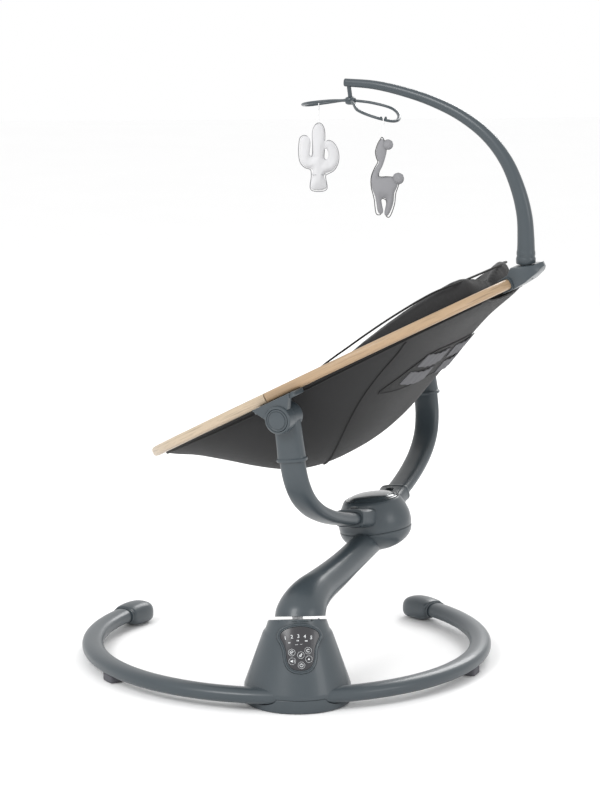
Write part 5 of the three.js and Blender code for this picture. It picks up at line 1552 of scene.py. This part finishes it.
class SWING_OT_harness(SwingOperator):
    """The harness webbing and its buckle"""
    bl_idname = "swing.harness"
    bl_label = "Harness"

    def build(self, context):
        width = self.seat.strap_width / MM
        for name, side in SIDES:
            for label, x0, x1, y0, y1, lift in (("shoulder", BUCKLE_X + 26, 150, 16, 42, 2.6),
                                                ("waist", BUCKLE_X + 6, BUCKLE_X + 34, 36, 112,
                                                 3.0)):
                strap = surface(on_insert(x0, x1, side * y0, side * y1, width, lift, 1.8), 60, 24,
                                fill_ends=True)
                piece(strap, SEAT, f"{label}_webbing_{name}", "seat", "webbing",
                      [f"{label}_strap_{name}"], 50)
                if label == "shoulder":
                    cover = surface(on_insert(x0 + 40, x1 - 6, side * (y0 + 8), side * (y1 - 1),
                                              width + 12,
                                              lift + 2.2, 3.4), 40, 30, fill_ends=True)
                    soft = show(stuffed(body_shape(cover, SEAT), 3, 2), f"shoulder_pad_{name}",
                                "seat",
                                "pad_jersey", (), 80)
        crotch = surface(on_insert(BUCKLE_X - 38, BUCKLE_X - 21, 0, 0, width, 2.6, 1.8), 30, 24,
                         fill_ends=True)
        piece(crotch, SEAT, "crotch_webbing", "seat", "webbing", ["crotch_strap"], 50)
        rest = insert_point(BUCKLE_X, 0, True).z + 5
        place = SEAT @ moved(BUCKLE_X, 0, rest)
        shell = body_shape(rounded_box(40, 44, 0, 13, 3.2, 3.4), place)
        well = body_shape(lathe([(0, 7), (8.3, 7), (8.3, 30), (0, 30)], 48), place)
        slits = [body_shape(into(rounded_box(27, 30, 3.4, 6.4, 8.0, 0.4, 24), at_mm(x, y, 0)),
                            place)
                 for x, y in ((0, 30), (0, -30), (30, 0), (-30, 0))]
        combine(shell, [well, *slits], "DIFFERENCE")
        show(shell, "buckle_shell", "seat", "dark_slate", ["buckle"], 35)
        key = lathe([(0, 9.7), (7.6, 9.7), (8, 10.1), (8, 14.6), (7.2, 15.4), (5, 15.1), (0, 14.7)],
                    48)
        piece(key, place, "buckle_key", "buckle_button", "nylon",
              ["buckle_button"])


# ---- toy bar and toys ---------------------------------------------------------------------------
class SWING_OT_toy_bar(SwingOperator):
    """The curved toy bar with its foot, tip and post"""
    bl_idname = "swing.toy_bar"
    bl_label = "Toy bar"

    def build(self, context):
        foot, tip = self.seat.bar_foot / MM, self.seat.bar_tip / MM
        route = Route([(-x, 0, z) for x, z in BAR_LINE])
        lip = smooth([(0, 1.0), (0.012, 1.06), (0.024, 1.06), (0.03, 0.99), (0.036, 1.04),
                      (0.048, 1.04),
                      (0.054, 1.0), (1, 1.0)])

        def section(u, v):
            width = (foot + (tip - foot) * u ** 0.75) * lip(u)
            a, b = oval(v, width, width * 0.86, 2.3)
            return b, a

        bar = sweep(route.at, lambda u: Y_AXIS, section, 170, 36)
        ends = [e for e in bar.edges if len(e.link_faces) == 2
                and any(len(f.verts) > 20 for f in e.link_faces)]
        bmesh.ops.bevel(bar, geom=ends, offset=1.0, offset_type="OFFSET", segments=3, profile=0.5,
                        affect="EDGES", material=-1, clamp_overlap=True)
        shape = body_shape(bar, BAR)
        plane_cut = body_shape(rounded_box(80, 80, -40, 0.3, 8.0, 0.2, 24), BAR)
        combine(shape, [plane_cut], "DIFFERENCE")
        peg = body_shape(lathe([(0, -18), (7, -18), (8, -17), (8, 6), (0, 6)], 40), BAR)
        post = body_shape(into(lathe([(0, -POST_L), (POST_R - 0.6, -POST_L),
                                      (POST_R, -POST_L + 0.6), (POST_R, 6),
                                      (0, 6)], 32), at_mm(POST_X, 0, POST_TOP)), BAR)
        combine(shape, [peg, post], "UNION")
        show(shape, "toy_bar_tube", "toy_bar", "slate", ["toy_bar"], 36)


class SWING_OT_spinner(SwingOperator):
    """The spinner: its knuckle and two open, leaf-shaped wings"""
    bl_idname = "swing.spinner"
    bl_label = "Toy spinner"

    def build(self, context):
        thick = self.seat.wing_rim / MM
        knuckle = body_shape(lathe([(0, -8), (5, -8), (7.4, -6.6), (8, -4.8), (8, -2.4), (7.6, -2),
                                    (8, -1.6),
                                    (8, 1), (7.4, 2.4), (5, 3.5), (0, 3.5)], 56), SPINNER)
        parts = []
        for _, heading, droop, _ in TOYS:
            route = wing_route(heading, droop)

            def section(u, v):
                flat = 1.0 + 0.35 * math.sin(math.pi * u) ** 2
                return oval(v, thick * flat, thick * 0.95, 2.4)

            parts.append(body_shape(sweep(route.at, lambda u: route.along(u).cross(Z_AXIS), section,
                                          120, 16),
                                    SPINNER))
            place, _ = hang_frame(heading, droop)
            for x in (-3.4, 3.4):
                stop = lathe([(0, 0), (1.5, 0.2), (1.9, 1.4), (1.5, 3.6), (0, 4.2)], 20)
                parts.append(body_shape(into(stop, at_mm(x, 0, 0.6)), place))
        combine(knuckle, parts, "UNION")
        bore = body_shape(lathe([(0, -2), (4.7, -2), (4.7, 20), (0, 20)], 32), SPINNER)
        combine(knuckle, [bore], "DIFFERENCE")
        show(knuckle, "spinner_wings", "spinner", "slate", ["toy_spinner"], 40)


CACTUS = [(-12, -103), (12, -103), (11, -81), (16, -78), (24, -73), (30, -62), (31, -50), (28, -38),
          (21, -29),
          (14, -27), (11, -30), (11, -36), (14.5, -43), (15.5, -50), (13, -56.5), (9, -56),
          (8.8, -40), (9, -12),
          (5.5, -3), (0, 0), (-5.5, -3), (-9.5, -12), (-9.8, -30), (-10, -48), (-11.5, -52),
          (-14, -50),
          (-14.5, -42), (-14.5, -27), (-18, -20.5), (-23, -19), (-28.5, -22), (-30.5, -30),
          (-31, -50),
          (-28, -62), (-21, -69), (-13, -72), (-11.5, -80)]
LLAMA = [(-2, 0), (2, -6), (4.4, -20), (3, -28), (-1, -41), (-6, -52), (-6, -58), (6, -58.5),
         (16, -60),
         (23, -68), (19, -84), (17, -101), (9, -119), (5, -117), (4.4, -93.5), (-2, -91.5),
         (-3.4, -114.5),
         (-9, -114.5), (-13.3, -91), (-17.8, -72), (-17.5, -58), (-13, -46), (-8, -36), (-10, -31),
         (-11.6, -21),
         (-8, -9), (-5, -4)]
POMPOMS = [(7, -11, 8), (22.5, -61.5, 9)]
STAND = Matrix.Rotation(math.pi / 2, 4, "X")


class SWING_OT_toys(SwingOperator):
    """Two stuffed felt toys with sewn edges"""
    bl_idname = "swing.toys"
    bl_label = "Soft toys"

    def build(self, context):
        for (toy, heading, droop, drop), outline, finish, slot in zip(
                TOYS, (CACTUS, LLAMA), ("light_felt", "dark_felt"), ("light_felt", "dark_felt")):
            place = hang_frame(heading, droop)[1] @ moved(0, 0, -drop)
            route = Route([(x, z, 0) for x, z in outline], closed=True)
            edge = [tuple(route.at(k / 200))[:2] for k in range(200)]
            shape = body_shape(into(prism(edge, -3.4, 3.4), STAND), place)
            show(stuffed(shape, 1.7, 4.2, 9.0), f"{toy}_stuffed", toy, finish, [f"{toy}_toy"],
                 80)

            def seam(u, v):
                turn = u % 1.0
                tangent = route.along(turn)
                outward = Vector((tangent.y, -tangent.x, 0))
                a, b = oval(v % 1.0, 1.2, 1.2)
                return route.at(turn) + outward * a + Z_AXIS * b

            piece(into(surface(seam, 360, 8), STAND), place, f"{toy}_seam", toy,
                  "dark_felt" if toy == "cactus" else "piping")
            if toy == "cactus":
                self.stitches(place, slot)
            else:
                self.pompoms(place, slot)

    def stitches(self, place, slot):
        """A row of running stitches across the pot."""
        joined = bmesh.new()
        for k in range(6):
            for front in (-1, 1):
                bm = rounded_box(3.0, 0.9, 0, 0.9, 3.0, 0.3, 16)
                into(bm, STAND @ at_mm(-9 + 3.7 * k, -79.5 + 0.3 * (k % 2), 0)
                     @ (at_mm(0, 0, 6.4) if front > 0 else at_mm(0, 0, -7.3)))
                mesh = bpy.data.meshes.new("stitch")
                bm.to_mesh(mesh)
                bm.free()
                joined.from_mesh(mesh)
        piece(joined, place, "cactus_stitches", "cactus", "dark_felt")

    def pompoms(self, place, slot):
        for number, (x, z, radius) in enumerate(POMPOMS, 1):
            bm = bmesh.new()
            bmesh.ops.create_icosphere(bm, subdivisions=5, radius=radius)
            for vert in bm.verts:
                d = vert.co.normalized()
                tuft = (math.sin(19 * d.x + 7 * d.y) + math.sin(23 * d.y - 5 * d.z) + math.sin(21 * d.z + 9 * d.x))
                vert.co = d * (radius * (0.95 + 0.02 * tuft))
            piece(into(bm, at_mm(x, 0, z)), place, f"llama_pompom_{number}", "llama", "dark_felt")


# ---- add-on -------------------------------------------------------------------------------------
OPERATORS = (SWING_OT_stage, SWING_OT_finishes, SWING_OT_toy_strings, SWING_OT_floor_ring,
             SWING_OT_housing,
             SWING_OT_control_panel, SWING_OT_swing_arm, SWING_OT_hub, SWING_OT_yoke, SWING_OT_rim,
             SWING_OT_sling, SWING_OT_pads, SWING_OT_harness, SWING_OT_toy_bar, SWING_OT_spinner,
             SWING_OT_toys)


class SWING_PT_panel(bpy.types.Panel):
    """Lists the swing's operators and settings"""
    bl_idname = "SWING_PT_panel"
    bl_label = "Baby swing"
    bl_space_type = "VIEW_3D"
    bl_region_type = "UI"
    bl_category = "Baby swing"

    def draw(self, context):
        for settings in (context.scene.swing_base, context.scene.swing_seat,
                         context.scene.swing_colours):
            box = self.layout.box()
            for key in settings.__annotations__:
                box.prop(settings, key)
        for operator in OPERATORS:
            self.layout.operator(operator.bl_idname)


SETTINGS = {"swing_base": SwingBaseSizes, "swing_seat": SwingSeatSizes,
            "swing_colours": SwingColours}
CLASSES = (*SETTINGS.values(), *OPERATORS, SWING_PT_panel)


def register():
    for cls in CLASSES:
        bpy.utils.register_class(cls)
    for key, group in SETTINGS.items():
        setattr(bpy.types.Scene, key, bpy.props.PointerProperty(type=group))


def unregister():
    for key in SETTINGS:
        delattr(bpy.types.Scene, key)
    for cls in reversed(CLASSES):
        bpy.utils.unregister_class(cls)


def main():
    register()
    for operator in OPERATORS:
        group, name = operator.bl_idname.split(".")
        getattr(getattr(bpy.ops, group), name)()


if __name__ == "__main__":
    main()
